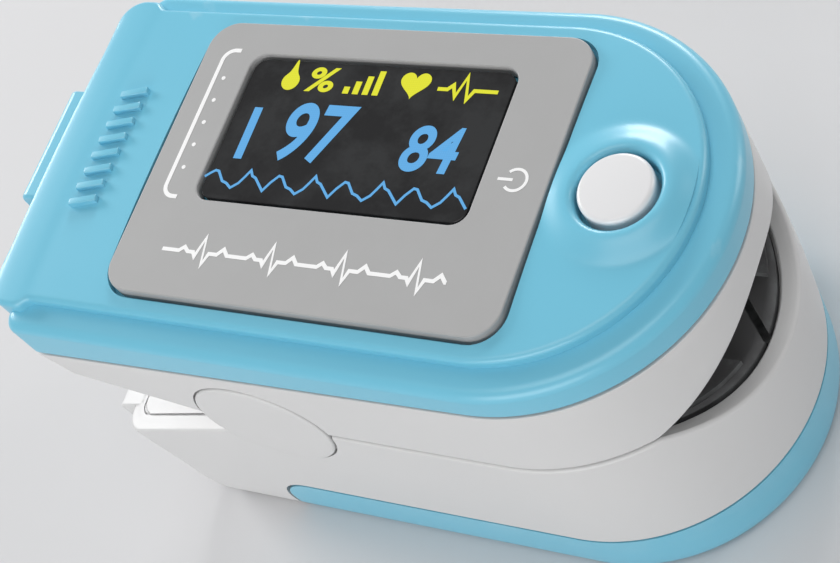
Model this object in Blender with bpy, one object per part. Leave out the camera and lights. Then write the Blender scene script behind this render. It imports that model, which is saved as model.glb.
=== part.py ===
"""Fingertip pulse oximeter: two sprung jaws, a display panel, a button and a sliding battery cover.

+X runs from the pinch handles to the finger opening, +Y to the left, +Z up.
The origin is the middle of the footprint, on the resting surface.
"""
from math import cos, pi, radians, sin, sqrt

import bmesh
import bpy
from mathutils import Matrix, Vector

MM = 0.001              # every size below is in millimetres
GAP = 0.3               # clearance between neighbouring pieces
FAR = 45.0              # past every piece: where a cutter's open end lies

# Overall form
HALF_WIDTH = 15.5       # casing half width, and its nose radius
NOSE_X = 13.25          # centre of the round nose
REAR_X = -25.85         # rear face of the casings
PANEL_Z = 32.4          # top face of the display panel
SPLIT_Z = 19.5          # where the two jaws meet
WALL = 1.5              # casing wall thickness
CORNER = 1.2            # plan corner at the rear of the upper jaw
SEAM_REAR_Z = 26.5      # seam between the blue cover and the white casing
SEAM_SLOPE = 0.034

# Blue top cover
LEDGE_Z = 30.75         # outer edge of the stepped ledge
LEDGE_FILLET = 0.9
PLATEAU_HALF = 13.35
PLATEAU_RIM_Z = 31.8
PLATEAU_CROWN = 0.5     # rise from the plateau's long edges to its middle
PLATEAU_FILLET = 0.45
HANDLE_HALF = 14.1      # the plateau widens over the push handle
HANDLE_REAR_X = -27.45
HANDLE_FRONT_X = -24.4
HANDLE_SHOULDER_X = -23.3
HANDLE_CORNER = 2.0
HANDLE_FLOOR_Z = 27.5
TAB_REAR_X = -28.75
TAB_FRONT_X = -26.0
TAB_HALF = 5.0
TAB_THICK = (2.6, 3.2)  # at the tab's rear edge and where it meets the handle
COVER_CEILING_Z = 29.95
# Raised ring round the button: radius and height
BUTTON_MOUND = [(0, 31.0), (4.6, 31.0), (4.6, 31.95), (4.0, 32.25), (3.3, 32.4), (0, 32.1)]

# Display panel and window
PANEL_SIZE = (32.8, 23.77)
PANEL_X = -0.35
PANEL_CORNER = 2.3
PANEL_FLOOR_Z = 31.3
WINDOW_SIZE = (23.0, 12.9)
WINDOW_CENTRE = (-0.55, 2.65)
WINDOW_CORNER = 1.3
WINDOW_SINK = 0.25      # how far the window lies below the panel's face
DISPLAY_SIZE = (26.8, 19.4)
DISPLAY_Z = (28.2, 29.7)

# Electronics
DECK_Z = 26.3           # floor of the tray that holds them
RIM_TOP_Z = 28.4        # the tray's rim reaches up inside the blue cover
RIM_THICK = 0.8
BOARD_Z = (26.7, 27.7)
BOARD_HALF = 12.6
BOARD_REAR_X = -21.0
PROCESSOR = ((-12.0, -5.0), (-12.3, -8.3))
DRIVER = ((4.0, 8.0), (-11.6, -8.6))
SWITCH_HALF = 2.0
SWITCH_HEIGHT = 1.0
BUTTON_X = 21.1
BUTTON_RADIUS = 2.7
BUTTON_RIM_Z = 32.7     # top of the button's straight side
BUTTON_DOME = 0.3       # rise from there to the middle of its face
FLANGE_RADIUS = 3.4     # keeps the button in its hole
FLANGE_THICK = 0.45
BUTTON_STANDOFF = 1.55  # from the board to the button's foot
PLUNGER_RADIUS = 0.8
SENSOR_X = 8.0          # the light path through the finger
SHAFT_HALF = 2.6        # passages for the light
PAD_WINDOW_HALF = 2.9   # openings in the pads
PANE_HALF = (2.6, 2.3)  # the small clear windows in them
EMITTER_HALF = 1.6
EMITTER_FOOT_Z = 24.95
RECEIVER_HALF = 1.5
RECEIVER_Z = (13.85, 14.55)
SENSOR_BOARD_Z = (13.2, 13.7)

# Finger tunnel
ARCH_TOP_Z = 24.4       # upper jaw's mouth at its middle
ARCH_ROUND = 2.5        # how blunt the arch's top is
ARCH_SLOPE = 0.585
CRADLE_LOW_Z = 15.2     # lower jaw's mouth at its middle
CRADLE_RISE = 4.3
CRADLE_HALF = 11.7
CRADLE_POWER = 2.3
LIP_WIDTH = 1.45        # flat lips round the mouth, outside the pads
TUNNEL_END_X = -3.5
ARCH_HALF = 15.0        # half width of the arch's and the cradle's cutters
SEAT_HALF = 14.0
UPPER_PAD_REAR_X = -1.4 # short of the flat cable, which the pad swings towards as the jaw opens
PAD_HALF = 10.9
PAD_RECESS = 0.9        # how deep the pads' seats lie in the casings
STOP_THICK = 1.0        # wall at the tunnel's end, where the fingertip stops
STOP_HALF = 8.0
STOP_TOP_Z = 20.4
PAD_SKIN = (0.4, 0.35)  # how far the upper and lower pads stand out of their seats

# Pinch gap between the handles
GAP_SLOPE = 0.335
UPPER_HANDLE = (-24.6, 23.8)
LOWER_HANDLE = (-25.9, 12.34)
LOWER_TAB_HALF = 13.1
LOWER_TAB_X = (-25.7, -28.25)
LOWER_TAB_FOOT_Z = 8.7

# Hinge
HINGE = (-7.4, 19.8)    # x and z of the jaw axis
PIN_RADIUS = 1.0
PIN_ENDS = (8.0, 14.7)
PIN_HOLE = 1.25
UPPER_EAR = (12.0, 13.25)
LOWER_EAR = (13.6, 14.9)
UPPER_EAR_RADIUS = 4.0
LOWER_EAR_RADIUS = 4.6
CAP_RADIUS = 5.6
CAP_FACE_Y = 15.8
CAP_BACK_Y = 15.2
SPRING_POCKET_Y = (-11.8, 11.8)
UPPER_POCKET_X = -12.5
UPPER_POCKET_Z = 25.5
LOWER_POCKET_X = -11.9
LOWER_POCKET_Z = 15.3

# Battery bay
COVER_TOP_Z = 5.9       # seam between the battery cover and the lower casing
COVER_REAR_X = -14.6
COVER_CORNER = 3.4
COVER_WALL = 1.2
COVER_HALF = 15.0       # half width at the cover's rim
BAY_CEILING_Z = 12.5
BATTERY_RADIUS = 5.2
BATTERY_Y = 5.45
BATTERY_Z = 6.95
BATTERY_ENDS = (-21.6, 22.0)
BATTERY_CHAMFER = 0.5
BATTERY_TIP = (1.9, 0.8)    # radius and height of the plus end's button
BAY_HALF = 13.6
BAY_REAR_X = -23.9
BAY_FLOOR_Z = 1.4

# Battery contacts
PLATE_THICK = 0.3
PLATE_Z = (4.0, 10.0)
CONTACT_COIL_RADIUS = 2.6
CONTACT_COIL_PITCH = 0.4
CONTACT_COIL_TURNS = 2.2
CONTACT_WIRE = 0.2      # wire radius

# Flat cable between the jaws
CABLE_THICK = 0.25
CABLE_HALF = 2.4
CABLE_X = -4.4          # where it rises behind the finger stop
CABLE_FRONT_X = 3.9
CABLE_Z = 13.6
CABLE_TOP_Z = 26.5
CABLE_BEND = 1.2
CABLE_SLOT_X = (-6.2, -3.6)
CABLE_SLOT_HALF = 3.2
CABLE_TRENCH_HALF = 3.0
SENSOR_WELL_HALF = (4.5, 4.0)

# Jaw springs
COIL_RADIUS = 1.9
COIL_PITCH = 0.85
COIL_TURNS = 3.25
COIL_START_Y = 8.6
COIL_START_ANGLE = 140
COIL_WIRE = 0.35        # wire radius
UPPER_LEG = ((-0.72, 0, 0.69), 2.4)     # direction and length
LOWER_LEG = ((-0.6, 0, -0.8), 2.0)

# Casing screws
SCREW_HOLE = 1.15
SCREW_HEAD_HOLE = 2.0
SCREW_SEAT_DEPTH = 2.2  # from the casing's inner face to the screw head
SCREW_TIP_Z = 29.1
BOSS_RADIUS = 2.1
BOSS_Z = (28.0, 30.2)
BOSS_HOLE_TOP_Z = 29.8
SCREW_PLACES = [(18.0, -8.0), (18.0, 8.0), (-16.5, -8.5), (-16.5, 8.5)]

# Casing sections from the bottom up: height, half width, rear face
LOWER_SECTIONS = [
    (0.0, 13.9, -21.5),
    (0.35, 14.55, -23.0),
    (1.2, 14.9, -24.3),
    (3.2, 15.0, -25.1),
    (6.0, 15.1, -25.5),
    (12.0, 15.4, -26.2),
    (SPLIT_Z - GAP / 2, 15.5, -26.6),
]

COLOURS = {
    "blue_shell": ((0.20, 0.58, 0.76), 0.35, 0.0),
    "white_shell": ((0.62, 0.62, 0.62), 0.45, 0.0),
    "grey_panel": ((0.43, 0.43, 0.43), 0.5, 0.0),
    "window": ((0.02, 0.02, 0.022), 0.15, 0.0),
    "white_button": ((0.75, 0.75, 0.76), 0.35, 0.0),
    "silicone": ((0.05, 0.05, 0.05), 0.7, 0.0),
    "circuit_board": ((0.03, 0.22, 0.09), 0.5, 0.0),
    "chip": ((0.03, 0.03, 0.03), 0.5, 0.0),
    "steel": ((0.62, 0.62, 0.64), 0.3, 1.0),
    "battery_jacket": ((0.12, 0.14, 0.2), 0.35, 0.0),
    "clear_lens": ((0.1, 0.02, 0.02), 0.1, 0.0),
    "flex": ((0.55, 0.28, 0.05), 0.5, 0.0),
}


# ---- scene and materials ----

def clear_scene():
    for obj in list(bpy.data.objects):
        bpy.data.objects.remove(obj, do_unlink=True)


def material(key):
    found = bpy.data.materials.get(key)
    if found:
        return found
    colour, roughness, metallic = COLOURS[key]
    made = bpy.data.materials.new(key)
    made.use_nodes = True
    shader = made.node_tree.nodes["Principled BSDF"]
    shader.inputs["Base Color"].default_value = (*colour, 1.0)
    shader.inputs["Roughness"].default_value = roughness
    shader.inputs["Metallic"].default_value = metallic
    return made


# ---- solids, as bmeshes in millimetres ----

def half_outline(half, rear_x, corner, nose_steps=14, corner_steps=3, side_points=()):
    """One side of a plan outline, from the nose's tip back to the rear face."""
    points = [(NOSE_X + half, 0.0)]
    for step in range(1, nose_steps + 1):
        angle = pi / 2 * step / nose_steps
        points.append((NOSE_X + half * cos(angle), half * sin(angle)))
    points.extend(side_points)
    wide = side_points[-1][1] if side_points else half
    for step in range(corner_steps + 1):
        angle = pi / 2 * (1 + step / corner_steps)
        points.append((rear_x + corner + corner * cos(angle), wide - corner + corner * sin(angle)))
    return points


def whole_ring(points, height):
    """Mirror a half outline into a closed ring; height is a number or a function of x."""
    def lift(x, y):
        return Vector((x, y, height(x) if callable(height) else height))
    right = [lift(x, -y) for x, y in reversed(points[1:])]
    left = [lift(x, y) for x, y in points]
    return right + left


def cap_in_rows(bm, loop, crown=0.0, columns=1, upwards=True):
    """Close a mirrored ring with rows that run straight across it, crowned where asked."""
    count = (len(loop) - 1) // 2
    widest = max(abs(vert.co.y) for vert in loop)
    rows = [[loop[count]]]
    for index in range(1, count + 1):
        right = loop[count - index]
        left = loop[count + index]
        row = [right]
        for column in range(1, columns):
            share = 2 * column / columns - 1
            rise = crown * (1 - share ** 2) * (left.co.y / widest) ** 2
            spot = Vector((left.co.x, share * left.co.y, left.co.z + rise))
            row.append(bm.verts.new(spot))
        row.append(left)
        rows.append(row)
    faces = [[rows[0][0], second, first] for first, second in zip(rows[1], rows[1][1:])]
    for front, back in zip(rows[1:], rows[2:]):
        for column in range(columns):
            faces.append([front[column], front[column + 1], back[column + 1], back[column]])
    if columns > 1:
        faces.append(rows[-1])
    for face in faces:
        bm.faces.new(face if upwards else reversed(face))


def loft(rings, crown=0.0, columns=1):
    """A solid through rings of equal length, closed with rows at both ends."""
    bm = bmesh.new()
    loops = [[bm.verts.new(point) for point in ring] for ring in rings]
    size = len(loops[0])
    for low, high in zip(loops, loops[1:]):
        for index in range(size):
            after = (index + 1) % size
            bm.faces.new((low[index], low[after], high[after], high[index]))
    cap_in_rows(bm, loops[0], upwards=False)
    cap_in_rows(bm, loops[-1], crown, columns)
    bmesh.ops.recalc_face_normals(bm, faces=bm.faces)
    return bm


def prism(outline, axis, low, high):
    """Extrude a flat outline along X, Y or Z; the outline gives the two other coordinates."""
    def place(pair, along):
        spot = list(pair)
        spot.insert("XYZ".index(axis), along)
        return Vector(spot)
    bm = bmesh.new()
    near = [bm.verts.new(place(pair, low)) for pair in outline]
    far = [bm.verts.new(place(pair, high)) for pair in outline]
    bm.faces.new(near)
    bm.faces.new(reversed(far))
    for index in range(len(outline)):
        after = (index + 1) % len(outline)
        bm.faces.new((near[after], near[index], far[index], far[after]))
    bmesh.ops.recalc_face_normals(bm, faces=bm.faces)
    return bm


def box(x_range, y_range, z_range):
    (x0, x1), (y0, y1) = x_range, y_range
    return prism([(x0, y0), (x1, y0), (x1, y1), (x0, y1)], "Z", *z_range)


def box_around(centre, halves, z_range):
    x, y = centre
    half_x, half_y = halves
    return box((x - half_x, x + half_x), (y - half_y, y + half_y), z_range)


def rounded_rectangle(size, centre, corner, steps=4):
    points = []
    for turn, (side_x, side_y) in enumerate(((1, 1), (-1, 1), (-1, -1), (1, -1))):
        middle_x = centre[0] + side_x * (size[0] / 2 - corner)
        middle_y = centre[1] + side_y * (size[1] / 2 - corner)
        for step in range(steps + 1):
            angle = pi / 2 * (turn + step / steps)
            points.append((middle_x + corner * cos(angle), middle_y + corner * sin(angle)))
    return points


def circle(centre, radius, steps=24):
    turns = [2 * pi * step / steps for step in range(steps)]
    return [(centre[0] + radius * cos(turn), centre[1] + radius * sin(turn)) for turn in turns]


def rod(axis, centre, radius, low, high, steps=24):
    return prism(circle(centre, radius, steps), axis, low, high)


def turned(profile, axis, centre, steps=24):
    """Turn a profile of (radius, place along the axis) that starts and ends on the axis."""
    def place(radius, along, angle):
        spot = [centre[0] + radius * cos(angle), centre[1] + radius * sin(angle)]
        spot.insert("XYZ".index(axis), along)
        return Vector(spot)
    bm = bmesh.new()
    first = bm.verts.new(place(0, profile[0][1], 0))
    last = bm.verts.new(place(0, profile[-1][1], 0))
    rings = []
    for radius, along in profile[1:-1]:
        rings.append([bm.verts.new(place(radius, along, 2 * pi * step / steps)) for step in range(steps)])
    for step in range(steps):
        after = (step + 1) % steps
        bm.faces.new((first, rings[0][step], rings[0][after]))
        bm.faces.new((last, rings[-1][after], rings[-1][step]))
        for inner, outer in zip(rings, rings[1:]):
            bm.faces.new((inner[step], outer[step], outer[after], inner[after]))
    bmesh.ops.recalc_face_normals(bm, faces=bm.faces)
    return bm


# ---- objects ----

def add_object(name, bm, look=None):
    bmesh.ops.scale(bm, vec=(MM, MM, MM), verts=bm.verts)
    mesh = bpy.data.meshes.new(name)
    bm.to_mesh(mesh)
    bm.free()
    mesh.shade_smooth()
    mesh.set_sharp_from_angle(angle=radians(32))
    obj = bpy.data.objects.new(name, mesh)
    bpy.context.collection.objects.link(obj)
    if look:
        mesh.materials.append(material(look))
    return obj


def helper_object(name, solid):
    helper = add_object(name + "_tool", solid)
    helper.hide_render = True
    helper.display_type = "WIRE"
    return helper


def boolean(obj, operation, *tools):
    """Cut from, or join to, an object with each of the given solids or helpers in turn."""
    for tool in tools:
        helper = tool if isinstance(tool, bpy.types.Object) else helper_object(obj.name, tool)
        step = obj.modifiers.new(operation.lower(), "BOOLEAN")
        step.operation = operation
        step.solver = "EXACT"
        step.object = helper
    return obj


def cut(obj, *tools):
    return boolean(obj, "DIFFERENCE", *tools)


def join(obj, *tools):
    return boolean(obj, "UNION", *tools)


def keep(obj, *tools):
    return boolean(obj, "INTERSECT", *tools)


def wire(name, points, radius, look, sides_resolution=1):
    """A round wire through the given points, with closed ends."""
    curve = bpy.data.curves.new(name, "CURVE")
    curve.dimensions = "3D"
    curve.bevel_depth = radius * MM
    curve.bevel_resolution = sides_resolution
    curve.use_fill_caps = True
    line = curve.splines.new("POLY")
    line.points.add(len(points) - 1)
    for spot, point in zip(line.points, points):
        spot.co = (point[0] * MM, point[1] * MM, point[2] * MM, 1.0)
    obj = bpy.data.objects.new(name, curve)
    bpy.context.collection.objects.link(obj)
    curve.materials.append(material(look))
    return obj


# ---- shared shapes ----

def seam_z(x):
    """Height of the seam between the blue cover and the white casing."""
    return SEAM_REAR_Z + SEAM_SLOPE * (min(x, NOSE_X) - REAR_X)


def cover_floor_z(x):
    return seam_z(x) + GAP / 2


def casing_ceiling_z(x):
    return seam_z(x) - GAP / 2


def arch_z(y, raised=0.0):
    """Ceiling of the finger tunnel."""
    drop = sqrt(ARCH_ROUND ** 2 + (ARCH_SLOPE * y) ** 2) - ARCH_ROUND
    return ARCH_TOP_Z + raised - drop


def cradle_z(y, raised=0.0):
    """Floor of the finger tunnel."""
    return CRADLE_LOW_Z + raised + CRADLE_RISE * abs(y / CRADLE_HALF) ** CRADLE_POWER


def upper_handle_z(x):
    return UPPER_HANDLE[1] - GAP_SLOPE * (x - UPPER_HANDLE[0])


def lower_handle_z(x):
    return LOWER_HANDLE[1] + GAP_SLOPE * (x - LOWER_HANDLE[0])


def across(half, steps=12):
    return [half * (2 * step / steps - 1) for step in range(steps + 1)]


def below_arch(half, raised):
    """Outline in Y and Z of the tunnel's upper half, for cutting."""
    return [(y, arch_z(y, raised)) for y in across(half)] + [(half, 0), (-half, 0)]


def above_cradle(half, raised):
    """Outline in Y and Z of the tunnel's lower half, for cutting."""
    return [(y, cradle_z(y, raised)) for y in across(half)] + [(half, FAR), (-half, FAR)]


def inside_nose(inset):
    """Everything inside the nose's round outline, less an inset."""
    plan = half_outline(HALF_WIDTH - inset, -FAR, 1.0)
    return loft([whole_ring(plan, -FAR), whole_ring(plan, FAR)])


def pad_seat(name, section):
    """Cutter for a pad's seat: a section run along the finger tunnel, inside the lips."""
    helper = helper_object(name, prism(section, "X", TUNNEL_END_X, FAR))
    return keep(helper, inside_nose(LIP_WIDTH))


def both_sides(low, high):
    return (low, high), (-high, -low)


def lower_section_rings(low, high, inset=0.0):
    """Rings of the lower casing's outer form between two heights."""
    def at(height):
        for under, over in zip(LOWER_SECTIONS, LOWER_SECTIONS[1:]):
            if height <= over[0]:
                share = (height - under[0]) / (over[0] - under[0])
                return [a + (b - a) * share for a, b in zip(under, over)]
        return list(LOWER_SECTIONS[-1])
    heights = [low] + [s[0] for s in LOWER_SECTIONS if low < s[0] < high] + [high]
    rings = []
    for height in heights:
        _, half, rear = at(height)
        rings.append(whole_ring(half_outline(half - inset, rear + inset, 2.0), height))
    return rings


# ---- upper jaw ----

def make_top_cover():
    """Blue cover: stepped skirt, crowned plateau, push handle and tab, open underneath."""
    rings = [whole_ring(half_outline(HALF_WIDTH, REAR_X, CORNER), cover_floor_z)]
    for step in range(4):
        angle = pi / 2 * step / 3
        inset = LEDGE_FILLET * (1 - cos(angle))
        height = LEDGE_Z - LEDGE_FILLET * (1 - sin(angle))
        outline = half_outline(HALF_WIDTH - inset, REAR_X + inset, CORNER)
        rings.append(whole_ring(outline, height))
    foot = half_outline(PLATEAU_HALF - 0.5, REAR_X + 3.2, CORNER)
    rings.append(whole_ring(foot, LEDGE_Z + 0.25))
    cover = add_object("top_cover", loft(rings), "blue_shell")

    rings = []
    for inset, height in ((0.0, HANDLE_FLOOR_Z), (0.0, PLATEAU_RIM_Z - PLATEAU_FILLET),
                          (0.13, PLATEAU_RIM_Z - 0.13), (PLATEAU_FILLET, PLATEAU_RIM_Z)):
        middle_x = (HANDLE_SHOULDER_X + HANDLE_FRONT_X) / 2
        shoulder = [(HANDLE_SHOULDER_X, PLATEAU_HALF - inset), (middle_x, HANDLE_HALF - 0.2 - inset),
                    (HANDLE_FRONT_X, HANDLE_HALF - inset)]
        rear = HANDLE_REAR_X + inset
        outline = half_outline(PLATEAU_HALF - inset, rear, HANDLE_CORNER, side_points=shoulder)
        rings.append(whole_ring(outline, height))
    join(cover, loft(rings, PLATEAU_CROWN, columns=6))

    top = PLATEAU_RIM_Z + PLATEAU_CROWN / 2
    side = [(TAB_FRONT_X, top), (TAB_REAR_X + 0.9, top), (TAB_REAR_X + 0.25, top - 0.3)]
    side += [(TAB_REAR_X, top - 1.0), (TAB_REAR_X, top - TAB_THICK[0]), (TAB_FRONT_X, top - TAB_THICK[1])]
    join(cover, prism(side, "Y", -TAB_HALF, TAB_HALF))

    join(cover, turned(BUTTON_MOUND, "Z", (BUTTON_X, 0), 30))

    cavity = half_outline(HALF_WIDTH - WALL, REAR_X + WALL, 1.0)
    cut(cover, loft([whole_ring(cavity, 0), whole_ring(cavity, COVER_CEILING_Z)]))
    recess_size = [side + 2 * GAP for side in PANEL_SIZE]
    recess = rounded_rectangle(recess_size, (PANEL_X, 0), PANEL_CORNER + GAP)
    cut(cover, prism(recess, "Z", PANEL_FLOOR_Z - GAP, FAR))
    opening = rounded_rectangle([side + 1.0 for side in WINDOW_SIZE], WINDOW_CENTRE, WINDOW_CORNER)
    cut(cover, prism(opening, "Z", 0, PANEL_FLOOR_Z))
    cut(cover, rod("Z", (BUTTON_X, 0), BUTTON_RADIUS + GAP, 0, FAR, 32))
    for place in SCREW_PLACES:
        join(cover, rod("Z", place, BOSS_RADIUS, *BOSS_Z, 16))
    for place in SCREW_PLACES:
        cut(cover, rod("Z", place, SCREW_HOLE, 0, BOSS_HOLE_TOP_Z, 12))
    return cover


def make_upper_casing():
    """White upper casing: deck over the finger, arched mouth, handle and inner hinge ears."""
    rings = []
    foot_rear = UPPER_HANDLE[0] + 0.05
    floor = SPLIT_Z + GAP / 2
    for rear, height in ((foot_rear, floor), (foot_rear, UPPER_HANDLE[1]), (REAR_X, casing_ceiling_z)):
        rings.append(whole_ring(half_outline(HALF_WIDTH, rear, CORNER), height))
    casing = add_object("upper_casing", loft(rings), "white_shell")
    apex_x = UPPER_HANDLE[0] + (UPPER_HANDLE[1] - floor + GAP) / GAP_SLOPE
    pinch = [(-FAR, upper_handle_z(-FAR)), (apex_x, upper_handle_z(apex_x)), (apex_x, 0), (-FAR, 0)]
    cut(casing, prism(pinch, "Y", -FAR, FAR))
    inset = WALL + GAP
    rim = half_outline(HALF_WIDTH - inset, REAR_X + inset, 1.0)
    join(casing, loft([whole_ring(rim, DECK_Z - GAP), whole_ring(rim, RIM_TOP_Z)]))
    inset += RIM_THICK
    tray = half_outline(HALF_WIDTH - inset, REAR_X + inset, 1.0)
    cut(casing, loft([whole_ring(tray, DECK_Z), whole_ring(tray, FAR)]))
    cut(casing, prism(below_arch(ARCH_HALF, 0.0), "X", TUNNEL_END_X, FAR))
    cut(casing, pad_seat("upper_seat", below_arch(ARCH_HALF, PAD_RECESS)))
    cut(casing, box((UPPER_POCKET_X, TUNNEL_END_X + 0.5), SPRING_POCKET_Y, (0, UPPER_POCKET_Z)))
    for span in both_sides(UPPER_EAR[1] + 0.05, FAR):
        cut(casing, rod("Y", HINGE, LOWER_EAR_RADIUS + GAP, *span, 32))
    for span in both_sides(LOWER_EAR[1], FAR):
        cut(casing, rod("Y", HINGE, CAP_RADIUS + GAP, *span, 32))
    for span in both_sides(*UPPER_EAR):
        join(casing, rod("Y", HINGE, UPPER_EAR_RADIUS, *span, 32))
    for span in both_sides(11.0, 14.0):
        cut(casing, rod("Y", HINGE, PIN_HOLE, *span, 16))
    cut(casing, box_around((SENSOR_X, 0), (SHAFT_HALF, SHAFT_HALF), (0, FAR)))
    cut(casing, box(CABLE_SLOT_X, (-CABLE_SLOT_HALF, CABLE_SLOT_HALF), (UPPER_POCKET_Z - 0.5, FAR)))
    for x, y in SCREW_PLACES:
        cut(casing, rod("Z", (x, y), SCREW_HOLE, 0, FAR, 12))
        cut(casing, rod("Z", (x, y), SCREW_HEAD_HOLE, 0, screw_seat_z(x, y), 16))
    return casing


def screw_seat_z(x, y):
    face = arch_z(y, PAD_RECESS) if x > 0 else upper_handle_z(x)
    return face + SCREW_SEAT_DEPTH


def make_panel_pieces():
    """Grey panel, the dark window in it, and the display behind the window."""
    face = rounded_rectangle(PANEL_SIZE, (PANEL_X, 0), PANEL_CORNER)
    plate = add_object("display_panel", prism(face, "Z", PANEL_FLOOR_Z, PANEL_Z), "grey_panel")
    hole = rounded_rectangle(WINDOW_SIZE, WINDOW_CENTRE, WINDOW_CORNER)
    cut(plate, prism(hole, "Z", 0, FAR))
    pane_size = [side - 2 * GAP for side in WINDOW_SIZE]
    pane = rounded_rectangle(pane_size, WINDOW_CENTRE, WINDOW_CORNER - GAP)
    window = add_object("display_window", prism(pane, "Z", PANEL_FLOOR_Z, PANEL_Z - WINDOW_SINK), "window")
    module = box_around(WINDOW_CENTRE, [side / 2 for side in DISPLAY_SIZE], DISPLAY_Z)
    display = add_object("display_module", module, "chip")
    return [plate, window, display]


def make_electronics():
    """Main board, its chips and switch, the emitter under it, and the flat cable's upper end."""
    low, high = BOARD_Z
    outline = half_outline(BOARD_HALF, BOARD_REAR_X, 1.0, nose_steps=8)
    plate = loft([whole_ring(outline, low), whole_ring(outline, high)])
    board = add_object("main_board", plate, "circuit_board")
    for place in SCREW_PLACES:
        cut(board, rod("Z", place, SCREW_HOLE + 0.45, 0, FAR, 12))
    on_top = high + GAP / 2
    processor = add_object("processor_chip", box(*PROCESSOR, (on_top, on_top + 1.0)), "chip")
    driver = add_object("driver_chip", box(*DRIVER, (on_top, on_top + 0.8)), "chip")
    switch_z = (high + 0.1, high + 0.1 + SWITCH_HEIGHT)
    body = box_around((BUTTON_X, 0), (SWITCH_HALF, SWITCH_HALF), switch_z)
    switch = add_object("button_switch", body, "steel")
    cut(switch, rod("Z", (BUTTON_X, 0), PLUNGER_RADIUS + GAP, switch_z[0] + 0.2, FAR, 16))
    lens = box_around((SENSOR_X, 0), (EMITTER_HALF, EMITTER_HALF), (EMITTER_FOOT_Z, low - GAP / 2))
    emitter = add_object("led_emitter", lens, "clear_lens")
    return [board, processor, driver, switch, emitter]


def make_button_pieces():
    """Power button with its flange, and the switch plunger that it presses."""
    foot = BOARD_Z[1] + BUTTON_STANDOFF
    shoulder = foot + FLANGE_THICK
    profile = [(0, foot), (FLANGE_RADIUS, foot), (FLANGE_RADIUS, shoulder), (BUTTON_RADIUS, shoulder)]
    profile.append((BUTTON_RADIUS, BUTTON_RIM_Z))
    for share in (0.95, 0.85, 0.6):
        profile.append((BUTTON_RADIUS * share, BUTTON_RIM_Z + BUTTON_DOME * sqrt(1 - share ** 2)))
    profile.append((0, BUTTON_RIM_Z + BUTTON_DOME))
    button = add_object("power_button", turned(profile, "Z", (BUTTON_X, 0), 32), "white_button")
    post = rod("Z", (BUTTON_X, 0), PLUNGER_RADIUS, BOARD_Z[1] + 0.65, foot - 0.1, 16)
    plunger = add_object("switch_plunger", post, "chip")
    return [button, plunger]


def pad_section(height_at, low, high):
    """A pad's section: one curve at each of two offsets, met at the sides."""
    inner = [(y, height_at(y, low)) for y in across(PAD_HALF)]
    outer = [(y, height_at(y, high)) for y in across(PAD_HALF)]
    return inner + list(reversed(outer))


def make_pad(name, section, rear_x):
    """A pad whose front edge follows the nose, just inside the lips."""
    pad = add_object(name, prism(section, "X", rear_x, FAR), "silicone")
    return keep(pad, inside_nose(LIP_WIDTH + GAP))


def make_pads():
    """Silicone pads that line the tunnel, each with its own small window, and the stop at its end."""
    light_path = (SENSOR_X, 0)
    window = (PAD_WINDOW_HALF, PAD_WINDOW_HALF)
    upper_section = pad_section(arch_z, -PAD_SKIN[0], PAD_RECESS - GAP)
    upper = make_pad("upper_finger_pad", upper_section, UPPER_PAD_REAR_X)
    cut(upper, box_around(light_path, window, (0, FAR)))
    end = TUNNEL_END_X + GAP
    lower_section = pad_section(cradle_z, GAP - PAD_RECESS, PAD_SKIN[1])
    lower = make_pad("lower_finger_pad", lower_section, end)
    cut(lower, box_around(light_path, window, (0, FAR)))
    stop = [(y, cradle_z(y)) for y in across(STOP_HALF)] + [(STOP_HALF, STOP_TOP_Z), (-STOP_HALF, STOP_TOP_Z)]
    join(lower, prism(stop, "X", end, end + STOP_THICK))
    upper_pane = box_around(light_path, PANE_HALF, (ARCH_TOP_Z - 0.45, ARCH_TOP_Z + 0.4))
    upper_window = add_object("emitter_window", upper_pane, "clear_lens")
    lower_pane = box_around(light_path, PANE_HALF, (CRADLE_LOW_Z - 0.45, CRADLE_LOW_Z + 0.25))
    lower_window = add_object("detector_window", lower_pane, "clear_lens")
    return [upper, upper_window], [lower, lower_window]


def make_screws():
    """Self-tapping screws that hold the upper casing to the cover, driven from below."""
    screws = []
    for number, (x, y) in enumerate(SCREW_PLACES, 1):
        head = screw_seat_z(x, y) - GAP
        # a recess in the head, the head, then the shank and its point
        profile = [(0, head - 0.6), (0.45, head - 0.6), (0.45, head - 1.1)]
        profile += [(1.1, head - 1.1), (1.6, head - 0.7), (1.6, head)]
        profile += [(0.8, head), (0.8, SCREW_TIP_Z), (0, SCREW_TIP_Z + 0.3)]
        screws.append(add_object("casing_screw_%d" % number, turned(profile, "Z", (x, y), 16), "steel"))
    return screws


# ---- lower jaw ----

def seam_corner(reach):
    """The battery cover's round upper rear corner in side view, from its top to its rear."""
    x = COVER_REAR_X + COVER_CORNER
    z = COVER_TOP_Z - COVER_CORNER
    angles = [pi / 2 * (1 + step / 5) for step in range(6)]
    return [(x + reach * cos(angle), z + reach * sin(angle)) for angle in angles]


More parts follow.
